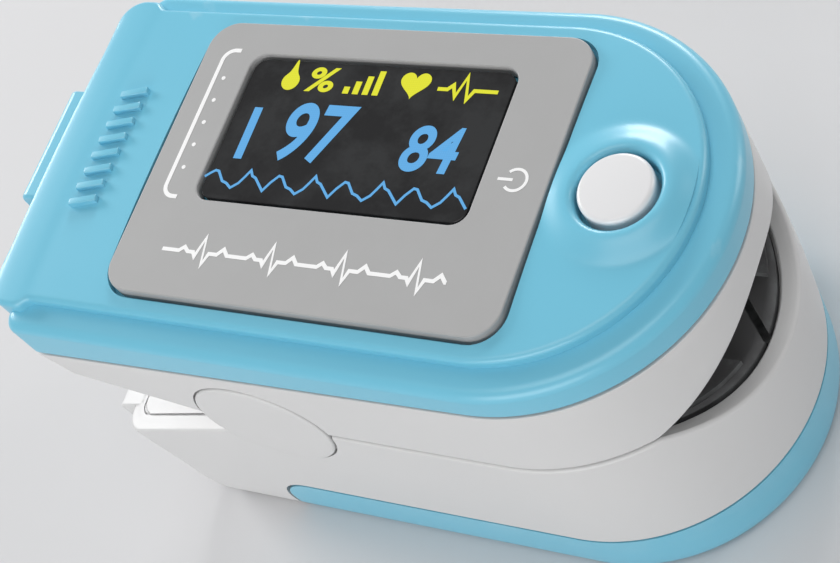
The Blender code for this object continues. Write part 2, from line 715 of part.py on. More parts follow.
def make_lower_casing():
    """White lower casing: cradle for the finger, battery bay, handle and outer hinge ears."""
    casing = add_object("lower_casing", loft(lower_section_rings(0.0, SPLIT_Z - GAP / 2)), "white_shell")
    seam = [(FAR, -FAR), (FAR, COVER_TOP_Z + GAP / 2)] + seam_corner(COVER_CORNER + GAP / 2)
    seam.append((COVER_REAR_X - GAP / 2, -FAR))
    cut(casing, prism(seam, "Y", -FAR, FAR))
    bay = half_outline(BAY_HALF, BAY_REAR_X, 1.0)
    cut(casing, loft([whole_ring(bay, BAY_FLOOR_Z), whole_ring(bay, BAY_CEILING_Z)]))
    apex_x = LOWER_HANDLE[0] + (SPLIT_Z - LOWER_HANDLE[1]) / GAP_SLOPE
    pinch = [(-FAR, lower_handle_z(-FAR)), (apex_x, lower_handle_z(apex_x)), (apex_x, FAR), (-FAR, FAR)]
    cut(casing, prism(pinch, "Y", -FAR, FAR))
    cut(casing, prism(above_cradle(SEAT_HALF, 0.0), "X", TUNNEL_END_X, FAR))
    cut(casing, pad_seat("lower_seat", above_cradle(SEAT_HALF, -PAD_RECESS)))
    cut(casing, box((LOWER_POCKET_X, TUNNEL_END_X + 0.5), SPRING_POCKET_Y, (LOWER_POCKET_Z, FAR)))
    for span in both_sides(11.5, UPPER_EAR[1] + 0.25):
        cut(casing, rod("Y", HINGE, UPPER_EAR_RADIUS + GAP, *span, 32))
    for span in both_sides(LOWER_EAR[1], FAR):
        cut(casing, rod("Y", HINGE, CAP_RADIUS + GAP, *span, 32))
    for span in both_sides(*LOWER_EAR):
        join(casing, rod("Y", HINGE, LOWER_EAR_RADIUS, *span, 32))
    for span in both_sides(13.0, 15.4):
        cut(casing, rod("Y", HINGE, PIN_HOLE, *span, 16))
    lip = [(x, lower_handle_z(x)) for x in LOWER_TAB_X]
    lip += [(LOWER_TAB_X[1] + 0.15, LOWER_TAB_FOOT_Z + 0.9), (LOWER_TAB_X[0], LOWER_TAB_FOOT_Z)]
    join(casing, prism(lip, "Y", -LOWER_TAB_HALF, LOWER_TAB_HALF))
    cut(casing, box_around((SENSOR_X, 0), SENSOR_WELL_HALF, (SENSOR_BOARD_Z[0] - 0.25, FAR)))
    trench_y = (-CABLE_TRENCH_HALF, CABLE_TRENCH_HALF)
    cut(casing, box((TUNNEL_END_X - 1.5, SENSOR_X), trench_y, (CABLE_Z - 0.3, FAR)))
    return casing


def make_battery_cover():
    """Blue cover that wraps the underside and the nose, and slides off forwards."""
    cover = add_object("battery_cover", loft(lower_section_rings(0.0, COVER_TOP_Z - GAP / 2)), "blue_shell")
    corner_x = COVER_REAR_X + COVER_CORNER
    behind = [(-FAR, -FAR), (COVER_REAR_X + GAP / 2, -FAR)]
    behind += reversed(seam_corner(COVER_CORNER - GAP / 2))
    behind += [(corner_x, FAR), (-FAR, FAR)]
    cut(cover, prism(behind, "Y", -FAR, FAR))
    inside = half_outline(COVER_HALF - COVER_WALL, -FAR, 1.0)
    cut(cover, loft([whole_ring(inside, COVER_WALL), whole_ring(inside, FAR)]))
    return cover


def make_batteries():
    """Two AAA cells side by side, laid head to tail."""
    cells = []
    tip_radius, tip_height = BATTERY_TIP
    edge = BATTERY_RADIUS - BATTERY_CHAMFER
    for name, side in (("battery_left", 1), ("battery_right", -1)):
        back, front = BATTERY_ENDS[::side]
        shoulder = front - side * tip_height
        profile = [(0, back), (edge, back), (BATTERY_RADIUS, back + side * BATTERY_CHAMFER)]
        profile += [(BATTERY_RADIUS, shoulder - side * BATTERY_CHAMFER), (edge, shoulder)]
        profile += [(tip_radius, shoulder), (tip_radius, front), (0, front)]
        cell = turned(profile, "X", (side * BATTERY_Y, BATTERY_Z))
        cells.append(add_object(name, cell, "battery_jacket"))
    return cells


def coil(centre, radius, pitch, turns, per_turn, axis, start=0.0):
    """Points of a helix along X or Y."""
    points = []
    for step in range(int(turns * per_turn) + 1):
        angle = start + 2 * pi * step / per_turn
        flat = [centre[0] + radius * cos(angle), centre[1] + radius * sin(angle)]
        flat.insert("XYZ".index(axis), centre[2] + pitch * step / per_turn)
        points.append(flat)
    return points


def make_contacts():
    """Battery contacts: a bridge at the handles, two plates at the nose, and a spring at each minus end."""
    rear = BATTERY_ENDS[0] - 1.85
    nose = BATTERY_ENDS[1] + 1.6
    plus = nose - 1.3
    bridge = add_object("bridge_contact", box((rear - PLATE_THICK, rear), (-9.0, 9.0), (3.2, 10.6)), "steel")
    left = add_object("contact_plate_left", box((plus, plus + PLATE_THICK), (3.0, 7.9), PLATE_Z), "steel")
    right = add_object("contact_plate_right", box((nose, nose + PLATE_THICK), (-8.2, -2.4), PLATE_Z), "steel")
    springs = []
    for name, side, start in (("contact_spring_left", 1, rear + 0.45), ("contact_spring_right", -1, plus)):
        centre = (side * BATTERY_Y, BATTERY_Z, start)
        points = coil(centre, CONTACT_COIL_RADIUS, CONTACT_COIL_PITCH, CONTACT_COIL_TURNS, 12, "X")
        springs.append(wire(name, points, CONTACT_WIRE, "steel"))
    return [bridge, left, right] + springs


def make_sensor_pieces():
    """Receiver under the lower pad's window, and the flat cable up to the main board."""
    plate = box((SENSOR_X - 3.8, SENSOR_X + 4.0), (-3.4, 3.4), SENSOR_BOARD_Z)
    board = add_object("sensor_board", plate, "circuit_board")
    chip = box_around((SENSOR_X, 0), (RECEIVER_HALF, RECEIVER_HALF), RECEIVER_Z)
    receiver = add_object("photodetector", chip, "clear_lens")
    inner = [(CABLE_FRONT_X, CABLE_Z)]
    outer = [(CABLE_FRONT_X, CABLE_Z + CABLE_THICK)]
    middle_x = CABLE_X + CABLE_BEND
    middle_z = CABLE_Z + CABLE_BEND
    for step in range(5):
        angle = pi * 1.5 - pi / 2 * step / 4
        for side, reach in ((inner, CABLE_BEND), (outer, CABLE_BEND - CABLE_THICK)):
            side.append((middle_x + reach * cos(angle), middle_z + reach * sin(angle)))
    inner.append((CABLE_X, CABLE_TOP_Z))
    outer.append((CABLE_X + CABLE_THICK, CABLE_TOP_Z))
    strip = prism(inner + outer[::-1], "Y", -CABLE_HALF, CABLE_HALF)
    cable = add_object("flex_cable", strip, "flex")
    return [board, receiver, cable]


# ---- hinge ----

def on_side(profile, side):
    return [(radius, side * along) for radius, along in profile]


def make_hinge_pieces():
    """A pin, a cap and a torsion spring on each side."""
    pieces = []
    for name, side in (("left", 1), ("right", -1)):
        pin = [(0, PIN_ENDS[0]), (PIN_RADIUS, PIN_ENDS[0]), (PIN_RADIUS, PIN_ENDS[1]), (0, PIN_ENDS[1])]
        pieces.append(add_object("hinge_pin_" + name, turned(on_side(pin, side), "Y", HINGE, 16), "steel"))
        cap = [(0, CAP_BACK_Y), (CAP_RADIUS, CAP_BACK_Y), (CAP_RADIUS, CAP_FACE_Y - 0.15)]
        cap += [(CAP_RADIUS - 0.15, CAP_FACE_Y), (0, CAP_FACE_Y)]
        disc = turned(on_side(cap, side), "Y", HINGE, 40)
        pieces.append(add_object("hinge_cap_" + name, disc, "white_shell"))
        start = (HINGE[0], HINGE[1], COIL_START_Y)
        helix = coil(start, COIL_RADIUS, COIL_PITCH, COIL_TURNS, 14, "Y", radians(COIL_START_ANGLE))
        points = [leg_point(helix[0], *UPPER_LEG)] + helix + [leg_point(helix[-1], *LOWER_LEG)]
        points = [(x, side * y, z) for x, y, z in points]
        pieces.append(wire("torsion_spring_" + name, points, COIL_WIRE, "steel"))
    return pieces


def leg_point(start, direction, length):
    return list(Vector(start) + Vector(direction).normalized() * length)


def hang_on(pivot, pieces):
    """Parent pieces to an empty on their joint's axis, leaving them where they are."""
    for piece in pieces:
        piece.parent = pivot
        piece.matrix_parent_inverse = Matrix.Translation(-pivot.location)


def add_pivot(name, x, y, z):
    pivot = bpy.data.objects.new(name, None)
    pivot.location = (x * MM, y * MM, z * MM)
    bpy.context.collection.objects.link(pivot)
    return pivot


def build():
    clear_scene()
    upper_pad_pieces, lower_pad_pieces = make_pads()
    upper = [make_top_cover(), make_upper_casing()]
    upper += make_panel_pieces()
    upper += make_electronics()
    upper += upper_pad_pieces
    upper += make_screws()
    hang_on(add_pivot("jaw_pivot", HINGE[0], 0, HINGE[1]), upper)
    hang_on(add_pivot("button_pivot", BUTTON_X, 0, PANEL_Z), make_button_pieces())
    make_lower_casing()
    hang_on(add_pivot("cover_pivot", COVER_REAR_X, 0, 0), [make_battery_cover()])
    make_batteries()
    make_contacts()
    make_sensor_pieces()
    make_hinge_pieces()


build()
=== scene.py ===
from math import cos, exp, pi, radians, sin, sqrt

import bmesh
import bpy
from mathutils import Matrix, Vector


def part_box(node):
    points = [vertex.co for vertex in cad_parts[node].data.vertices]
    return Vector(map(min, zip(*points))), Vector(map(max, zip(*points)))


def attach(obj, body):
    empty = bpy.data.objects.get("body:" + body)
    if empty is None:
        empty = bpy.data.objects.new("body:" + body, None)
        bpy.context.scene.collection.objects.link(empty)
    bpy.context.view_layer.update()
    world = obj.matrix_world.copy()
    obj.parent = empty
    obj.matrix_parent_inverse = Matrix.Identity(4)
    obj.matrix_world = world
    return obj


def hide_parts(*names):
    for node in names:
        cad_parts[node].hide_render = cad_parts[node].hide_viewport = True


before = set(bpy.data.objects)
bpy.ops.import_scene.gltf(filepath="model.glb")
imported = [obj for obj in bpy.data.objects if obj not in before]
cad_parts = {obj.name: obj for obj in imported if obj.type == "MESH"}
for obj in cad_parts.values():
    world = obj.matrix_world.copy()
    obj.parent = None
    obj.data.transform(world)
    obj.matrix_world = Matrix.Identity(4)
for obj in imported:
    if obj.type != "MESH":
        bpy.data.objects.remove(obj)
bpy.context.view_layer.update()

mm = 0.001      # sizes below are in millimetres
seamGap = 0.3   # the gap that moulded neighbours keep
inkThick = 0.02
edgeTurns = (0.4, 0.8, 1.2, 1.57)       # radians round a small rounded edge
roundTurns = (0.3, 0.6, 0.9, 1.2, 1.57)


# meshes in millimetres

def newObject(name, data):
    made = bpy.data.objects.new(name, data)
    bpy.context.scene.collection.objects.link(made)
    return made


def evaluatedMesh(holder):
    return bpy.data.meshes.new_from_object(holder.evaluated_get(bpy.context.evaluated_depsgraph_get()))


def newPiece(name, bm, body, finish, smoothAngle=32):
    bmesh.ops.remove_doubles(bm, verts=bm.verts, dist=0.0004)
    bmesh.ops.recalc_face_normals(bm, faces=bm.faces)
    bmesh.ops.scale(bm, vec=(mm, mm, mm), verts=bm.verts)
    mesh = bpy.data.meshes.new(name)
    bm.to_mesh(mesh)
    bm.free()
    mesh.shade_smooth()
    mesh.set_sharp_from_angle(angle=radians(smoothAngle))
    mesh.materials.append(finish)
    piece = newObject(name, mesh)
    # normals weighted by area keep the flat faces flat right up to their rounded edges
    even = piece.modifiers.new("even", "WEIGHTED_NORMAL")
    even.keep_sharp = True
    shaded = evaluatedMesh(piece)
    piece.modifiers.remove(even)
    piece.data = shaded
    bpy.data.meshes.remove(mesh)
    shaded.name = name
    if body:
        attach(piece, body)
    return piece


def arcPoints(centre, radius, start, end, steps=10):
    return [(centre[0] + radius * cos(start + (end - start) * k / steps),
             centre[1] + radius * sin(start + (end - start) * k / steps)) for k in range(steps + 1)]


def planOutline(half, rear, corner, noseSteps=56, sideSteps=90, cornerSteps=8, widen=None):
    # from the nose tip round the left side, then back along the right side
    noseX = form["noseX"]
    points = arcPoints((noseX, 0), half, 0, pi / 2, noseSteps)
    points += [(noseX + (rear + corner - noseX) * k / sideSteps, half) for k in range(1, sideSteps + 1)]
    points += arcPoints((rear + corner, half - corner), corner, pi / 2, pi, cornerSteps)[1:]
    if widen:
        points = [(x, y + widen(x)) for x, y in points]
    return points + [(x, -y) for x, y in reversed(points[1:])]


def loopAt(bm, outline, height):
    return [bm.verts.new((x, y, height(x, y) if callable(height) else height)) for x, y in outline]


def bridge(bm, lower, upper):
    size = len(lower)
    for k in range(size):
        bm.faces.new((lower[k], lower[(k + 1) % size], upper[(k + 1) % size], upper[k]))


def closeAcross(bm, loop, columns=1, height=None):
    # rows run straight across from side to side, so a crowned or stepped lid follows height(x, y)
    count = (len(loop) - 1) // 2
    rows = [[loop[0]]]
    for k in range(1, count + 1):
        left, right = loop[k], loop[-k]
        row = [right]
        for c in range(1, columns):
            y = (2 * c / columns - 1) * left.co.y
            row.append(bm.verts.new((left.co.x, y, height(left.co.x, y, left.co.y) if height else left.co.z)))
        rows.append(row + [left])
    for a, b in zip(rows[1], rows[1][1:]):
        bm.faces.new((rows[0][0], a, b))
    for front, back in zip(rows[1:], rows[2:]):
        for c in range(columns):
            bm.faces.new((front[c], back[c], back[c + 1], front[c + 1]))
    if columns > 1:
        bm.faces.new(rows[-1])


def shellFrom(profile):
    # each entry is an outline and a height; neighbours are bridged in order
    bm = bmesh.new()
    loops = [loopAt(bm, outline, height) for outline, height in profile]
    for lower, upper in zip(loops, loops[1:]):
        bridge(bm, lower, upper)
    return bm, loops


def closedShell(profile):
    bm, loops = shellFrom(profile)
    closeAcross(bm, loops[0])
    closeAcross(bm, loops[-1])
    return bm


def roundedRectangle(size, centre=(0, 0), corner=1.0, steps=12):
    points = []
    for turn, (sx, sy) in enumerate(((1, 1), (-1, 1), (-1, -1), (1, -1))):
        middle = (centre[0] + sx * (size[0] / 2 - corner), centre[1] + sy * (size[1] / 2 - corner))
        points += arcPoints(middle, corner, pi / 2 * turn, pi / 2 * (turn + 1), steps)
    return points


def extruded(outline, axis, low, high):
    def place(pair, along):
        spot = list(pair)
        spot.insert("XYZ".index(axis), along)
        return spot
    bm = bmesh.new()
    near = [bm.verts.new(place(p, low)) for p in outline]
    far = [bm.verts.new(place(p, high)) for p in outline]
    bridge(bm, near, far)
    bm.faces.new(near)
    bm.faces.new(far)
    bmesh.ops.recalc_face_normals(bm, faces=bm.faces)
    return bm


def ribbon(points, width, z, thick=inkThick):
    # a flat strip of even width along a line of points
    left, right = [], []
    count = len(points)
    for k in range(count):
        before, after = points[max(k - 1, 0)], points[min(k + 1, count - 1)]
        incoming = Vector(points[k]) - Vector(before) if k else Vector(after) - Vector(points[k])
        outgoing = Vector(after) - Vector(points[k]) if k < count - 1 else incoming
        first, second = incoming.normalized(), outgoing.normalized()
        middle = (first + second).normalized()
        grow = width / 2 / max(first.dot(middle), 0.45)
        side = Vector((-middle.y, middle.x)) * grow
        left.append((points[k][0] + side.x, points[k][1] + side.y))
        right.append((points[k][0] - side.x, points[k][1] - side.y))
    return extruded(left + right[::-1], "Z", z, z + thick)


def lathe(profile, axis, centre, steps=96):
    # profile is (radius, place along the axis) and starts and ends on the axis
    bm = bmesh.new()
    def place(r, along, k):
        spot = [centre[0] + r * cos(2 * pi * k / steps), centre[1] + r * sin(2 * pi * k / steps)]
        spot.insert("XYZ".index(axis), along)
        return spot
    loops = [[bm.verts.new(place(r, along, k)) for k in range(steps)] for r, along in profile[1:-1]]
    for a, b in zip(loops, loops[1:]):
        bridge(bm, a, b)
    for end, loop in ((profile[0], loops[0]), (profile[-1], loops[-1])):
        tip = bm.verts.new(place(0, end[1], 0))
        for k in range(steps):
            bm.faces.new((tip, loop[k], loop[(k + 1) % steps]))
    bmesh.ops.recalc_face_normals(bm, faces=bm.faces)
    return bm


def merged(bm, *others):
    for other in others:
        holder = bpy.data.meshes.new("joined")
        other.to_mesh(holder)
        other.free()
        bm.from_mesh(holder)
        bpy.data.meshes.remove(holder)
    return bm


def solidObject(bm):
    # hands the closed solid bm over to an object, its faces outward
    bmesh.ops.recalc_face_normals(bm, faces=bm.faces)
    holder = newObject("solid", bpy.data.meshes.new("solid"))
    bm.to_mesh(holder.data)
    bm.free()
    return holder


def carve(bm, *tools):
    # the closed solid bm, less each closed tool
    base = solidObject(bm)
    cutters = [solidObject(tool) for tool in tools]
    for cutter in cutters:
        step = base.modifiers.new("carve", "BOOLEAN")
        step.operation = "DIFFERENCE"
        step.solver = "EXACT"
        step.object = cutter
    result = evaluatedMesh(base)
    out = bmesh.new()
    out.from_mesh(result)
    bpy.data.meshes.remove(result)
    for holder in [*cutters, base]:
        bpy.data.objects.remove(holder)
    return out


def softened(bm, width, segments=3, angle=40, above=-100.0):
    # rounds the sharp edges that lie above a height
    edges = [e for e in bm.edges if len(e.link_faces) == 2 and e.calc_face_angle(0) > radians(angle)
             and min(v.co.z for v in e.verts) > above]
    bmesh.ops.bevel(bm, geom=edges, offset=width, offset_type="OFFSET", segments=segments, profile=0.5,
                    affect="EDGES", clamp_overlap=True)
    return bm


def quarterTurn(steps):
    return [pi / 2 * k / steps for k in range(steps + 1)]


def smoothStep(a, b, value):
    t = min(max((value - a) / (b - a), 0), 1)
    return t * t * (3 - 2 * t)


# finishes

def groupNode(name, inputs, outputs):
    tree = bpy.data.node_groups.new(name, "ShaderNodeTree")
    for label, kind, value in inputs:
        socket = tree.interface.new_socket(label, in_out="INPUT", socket_type=kind)
        socket.default_value = value
    for label, kind in outputs:
        tree.interface.new_socket(label, in_out="OUTPUT", socket_type=kind)
    return tree, tree.nodes.new("NodeGroupInput"), tree.nodes.new("NodeGroupOutput")


def noiseAt(tree, vector, scale, detail, roughness=0.55):
    noise = tree.nodes.new("ShaderNodeTexNoise")
    tree.links.new(vector, noise.inputs["Vector"])
    noise.inputs["Detail"].default_value = detail
    noise.inputs["Roughness"].default_value = roughness
    if isinstance(scale, (int, float)):
        noise.inputs["Scale"].default_value = scale
    else:
        tree.links.new(scale, noise.inputs["Scale"])
    return noise.outputs["Fac"]


def mathNode(tree, operation, a, b=None, clamp=False):
    node = tree.nodes.new("ShaderNodeMath")
    node.operation = operation
    node.use_clamp = clamp
    for socket, value in zip(node.inputs, (a, b)):
        if value is None:
            continue
        if isinstance(value, (int, float)):
            socket.default_value = value
        else:
            tree.links.new(value, socket)
    return node.outputs[0]


def rangeNode(tree, value, low, high, toLow=0.0, toHigh=1.0):
    node = tree.nodes.new("ShaderNodeMapRange")
    tree.links.new(value, node.inputs["Value"])
    for label, number in (("From Min", low), ("From Max", high), ("To Min", toLow), ("To Max", toHigh)):
        node.inputs[label].default_value = number
    return node.outputs[0]


def buildMouldedSkin():
    # moulded plastic: faint colour drift, fine grain, uneven roughness and lightly rubbed edges
    tree, inside, out = groupNode("mouldedSkin", [
        ("Colour", "NodeSocketColor", (0.5, 0.5, 0.5, 1)), ("Drift", "NodeSocketFloat", 0.04),
        ("Grain Scale", "NodeSocketFloat", 5000.0), ("Roughness", "NodeSocketFloat", 0.35),
        ("Smears", "NodeSocketFloat", 0.06), ("Edge Wear", "NodeSocketFloat", 0.15)],
        [("Colour", "NodeSocketColor"), ("Roughness", "NodeSocketFloat"), ("Height", "NodeSocketFloat")])
    place = tree.nodes.new("ShaderNodeTexCoord").outputs["Object"]
    broad = noiseAt(tree, place, 55.0, 3.0)
    smear = noiseAt(tree, place, 260.0, 5.0, 0.65)
    grain = noiseAt(tree, place, inside.outputs["Grain Scale"], 2.0)
    worn = rangeNode(tree, tree.nodes.new("ShaderNodeNewGeometry").outputs["Pointiness"], 0.52, 0.6)
    patchy = mathNode(tree, "MULTIPLY", worn, rangeNode(tree, smear, 0.42, 0.62))
    wear = mathNode(tree, "MULTIPLY", patchy, inside.outputs["Edge Wear"], clamp=True)
    swing = mathNode(tree, "MULTIPLY", mathNode(tree, "SUBTRACT", broad, 0.5), inside.outputs["Drift"])
    shade = tree.nodes.new("ShaderNodeHueSaturation")
    tree.links.new(mathNode(tree, "ADD", swing, 1.0), shade.inputs["Value"])
    tree.links.new(inside.outputs["Colour"], shade.inputs["Color"])
    mix = tree.nodes.new("ShaderNodeMix")
    mix.data_type = "RGBA"
    tree.links.new(wear, mix.inputs["Factor"])
    tree.links.new(shade.outputs["Color"], mix.inputs["A"])
    mix.inputs["B"].default_value = (0.8, 0.86, 0.88, 1)
    tree.links.new(mix.outputs["Result"], out.inputs["Colour"])
    spread = mathNode(tree, "MULTIPLY", mathNode(tree, "SUBTRACT", smear, 0.5), inside.outputs["Smears"])
    rough = mathNode(tree, "ADD", inside.outputs["Roughness"], spread, clamp=True)
    tree.links.new(rough, out.inputs["Roughness"])
    tree.links.new(grain, out.inputs["Height"])
    return tree


mouldedSkin = buildMouldedSkin()


def newFinish(name):
    finish = bpy.data.materials.new(name)
    finish.use_nodes = True
    return finish, finish.node_tree, finish.node_tree.nodes["Principled BSDF"]


def addBump(tree, shader, height, strength, distance):
    bump = tree.nodes.new("ShaderNodeBump")
    bump.inputs["Strength"].default_value = strength
    bump.inputs["Distance"].default_value = distance
    tree.links.new(height, bump.inputs["Height"])
    tree.links.new(bump.outputs["Normal"], shader.inputs["Normal"])


def plasticFinish(name, colour, roughness=0.35, drift=0.04, grainScale=5000.0, grainDepth=0.02, smears=0.06,
                  edgeWear=0.12, coat=0.0):
    finish, tree, shader = newFinish(name)
    skin = tree.nodes.new("ShaderNodeGroup")
    skin.node_tree = mouldedSkin
    for label, value in (("Colour", (*colour, 1)), ("Drift", drift), ("Grain Scale", grainScale),
                         ("Roughness", roughness), ("Smears", smears), ("Edge Wear", edgeWear)):
        skin.inputs[label].default_value = value
    tree.links.new(skin.outputs["Colour"], shader.inputs["Base Color"])
    tree.links.new(skin.outputs["Roughness"], shader.inputs["Roughness"])
    addBump(tree, shader, skin.outputs["Height"], grainDepth, 0.0001)
    shader.inputs["Coat Weight"].default_value = coat
    shader.inputs["Coat Roughness"].default_value = 0.12
    return finish


def metalFinish(name, colour, roughness, scratchScale=900.0, along=(1, 1, 14)):
    finish, tree, shader = newFinish(name)
    shader.inputs["Base Color"].default_value = (*colour, 1)
    shader.inputs["Metallic"].default_value = 1.0
    mapping = tree.nodes.new("ShaderNodeMapping")
    mapping.inputs["Scale"].default_value = along
    tree.links.new(tree.nodes.new("ShaderNodeTexCoord").outputs["Object"], mapping.inputs["Vector"])
    scratch = noiseAt(tree, mapping.outputs["Vector"], scratchScale, 4.0, 0.6)
    spread = rangeNode(tree, scratch, 0.3, 0.7, roughness - 0.08, roughness + 0.12)
    tree.links.new(spread, shader.inputs["Roughness"])
    addBump(tree, shader, scratch, 0.08, 0.00005)
    return finish


def glowFinish(name, colour, strength):
    # a lit display segment: its dots are just visible close up
    finish, tree, shader = newFinish(name)
    shader.inputs["Base Color"].default_value = (0.01, 0.01, 0.01, 1)
    shader.inputs["Roughness"].default_value = 0.25
    dots = tree.nodes.new("ShaderNodeTexVoronoi")
    dots.inputs["Scale"].default_value = 5800.0
    dots.inputs["Randomness"].default_value = 0.0
    tree.links.new(tree.nodes.new("ShaderNodeTexCoord").outputs["Object"], dots.inputs["Vector"])
    mix = tree.nodes.new("ShaderNodeMix")
    mix.data_type = "RGBA"
    tree.links.new(rangeNode(tree, dots.outputs["Distance"], 0.1, 0.6), mix.inputs["Factor"])
    mix.inputs["A"].default_value = (*colour, 1)
    mix.inputs["B"].default_value = (*[c * 0.86 for c in colour], 1)
    tree.links.new(mix.outputs["Result"], shader.inputs["Emission Color"])
    shader.inputs["Emission Strength"].default_value = strength
    return finish


blueShell = plasticFinish("blueShell", (0.17, 0.53, 0.70), 0.34, edgeWear=0.10, coat=0.12)
whiteShell = plasticFinish("whiteShell", (0.66, 0.66, 0.66), 0.42, drift=0.03, edgeWear=0.05)
greyPanel = plasticFinish("greyPanel", (0.38, 0.38, 0.38), 0.5, drift=0.03, grainDepth=0.05, edgeWear=0.1)
panelPrint = plasticFinish("panelPrint", (0.9, 0.9, 0.9), 0.45, drift=0.05, grainDepth=0.04, edgeWear=0.0)
windowPane = plasticFinish("windowPane", (0.02, 0.02, 0.021), 0.14, grainDepth=0.0, smears=0.1, edgeWear=0.05)
buttonCap = plasticFinish("buttonCap", (0.78, 0.78, 0.79), 0.3, drift=0.02, edgeWear=0.0, coat=0.2)
siliconePad = plasticFinish("siliconePad", (0.09, 0.09, 0.092), 0.62, drift=0.12, grainScale=2500.0,
                            grainDepth=0.12, smears=0.14, edgeWear=0.12)
blackPlastic = plasticFinish("blackPlastic", (0.02, 0.02, 0.02), 0.45, grainDepth=0.08)
boardMask = plasticFinish("boardMask", (0.02, 0.17, 0.06), 0.35, drift=0.15, coat=0.3)
batterySleeve = plasticFinish("batterySleeve", (0.07, 0.09, 0.14), 0.3, drift=0.1, coat=0.3)
clearLens = plasticFinish("clearLens", (0.1, 0.015, 0.015), 0.1, grainDepth=0.0, coat=0.5)
flexFilm = plasticFinish("flexFilm", (0.55, 0.26, 0.05), 0.35, drift=0.2)
steelWire = metalFinish("steelWire", (0.62, 0.62, 0.63), 0.28)
steelPlate = metalFinish("steelPlate", (0.72, 0.7, 0.66), 0.3)
litBlue = glowFinish("litBlue", (0.12, 0.42, 0.8), 1.1)
litYellow = glowFinish("litYellow", (0.78, 0.78, 0.03), 1.1)
print("finishes ready")


# the casings' shared form

form = {"half": 15.5, "noseX": 13.25, "rear": -25.85, "split": 19.5, "hinge": (-7.4, 19.8), "seamRearZ": 26.5,
        "seamRise": 0.034, "edge": 0.32, "lipWidth": 1.45, "lipEdge": 0.12, "lipFlat": 0.8, "tunnelEnd": -3.5,
        "padBed": 0.9, "seatStep": 0.25, "capRecess": 5.76, "capRecessY": (14.9, 18.0)}
tunnel = {"archZ": 24.4, "archRound": 2.5, "archSlope": 0.585, "cradleZ": 15.2, "cradleRise": 4.3,
          "cradleHalf": 11.7, "cradlePower": 2.3}
handles = {"slope": 0.335, "upper": (-24.6, 23.8), "lower": (-25.9, 12.34)}


def seamZ(x):
    return form["seamRearZ"] + form["seamRise"] * (min(x, form["noseX"]) - form["rear"])


def archZ(y, raised=0.0):
    bend = tunnel["archRound"]
    return tunnel["archZ"] + raised - sqrt(bend ** 2 + (tunnel["archSlope"] * y) ** 2) + bend


def cradleZ(y, raised=0.0):
    climb = abs(y / tunnel["cradleHalf"]) ** tunnel["cradlePower"]
    return tunnel["cradleZ"] + raised + tunnel["cradleRise"] * climb


def upperHandleZ(x):
    startX, startZ = handles["upper"]
    return startZ - handles["slope"] * (x - startX)


def lowerHandleZ(x):
    startX, startZ = handles["lower"]
    return startZ + handles["slope"] * (x - startX)


def capRecesses():
    # round recesses for the hinge caps, one in each side wall
    ring = arcPoints(form["hinge"], form["capRecess"], 0, 2 * pi, 120)[:-1]
    near, far = form["capRecessY"]
    return [extruded(ring, "Y", near, far), extruded(ring, "Y", -far, -near)]


# blue top cover: a stepped skirt with a crowned plateau on it

cover = {"wall": 1.5, "corner": 1.2, "bottomEdge": 0.16, "ledgeZ": 30.75, "ledgeFillet": 0.9, "ledgeReach": 2.4,
         "ledgeRise": 0.12, "ceiling": 29.95, "half": 13.35, "plateauCorner": 2.0, "plateauFoot": 30.2,
         "footEdge": 0.3, "rimZ": 31.8, "fillet": 0.45, "crown": 0.5, "handleWiden": 0.75,
         "widenX": (-23.3, -24.4), "handleX": -24.3, "handleRear": -27.45, "handleFloor": 27.5,
         "panelCorner": 2.6, "buttonX": 21.1, "buttonHole": 3.0, "moundZ": 32.72, "moundFrom": 3.5,
         "moundReach": 5.7, "flareZ": 32.1, "flareWide": 0.5, "flareHigh": 0.62, "flareTop": (4.2, 33.2)}
tab = {"half": 5.0, "frontX": -26.0, "lift": 0.25, "round": 0.9, "rearDrop": 2.6, "frontDrop": 3.2, "edge": 0.3}


def coverInset(inset):
    return planOutline(form["half"] - inset, form["rear"] + inset, cover["corner"])


def plateauInset(inset):
    def widen(x):
        return cover["handleWiden"] * smoothStep(*cover["widenX"], x)
    return planOutline(cover["half"] - inset, cover["handleRear"] + inset, cover["plateauCorner"], widen=widen)


def coverSkirt():
    def floor(lift):
        return lambda x, y: seamZ(x) + seamGap / 2 + lift
    wall, edge, fillet, ledgeZ = cover["wall"], cover["bottomEdge"], cover["ledgeFillet"], cover["ledgeZ"]
    profile = [(coverInset(wall), cover["ceiling"]), (coverInset(wall), floor(0)), (coverInset(edge), floor(0)),
               (coverInset(0.05), floor(0.05)), (coverInset(0), floor(edge))]
    profile += [(coverInset(fillet * (1 - cos(a))), ledgeZ - fillet * (1 - sin(a))) for a in quarterTurn(8)]
    profile.append((coverInset(cover["ledgeReach"]), ledgeZ + cover["ledgeRise"]))
    return closedShell(profile)


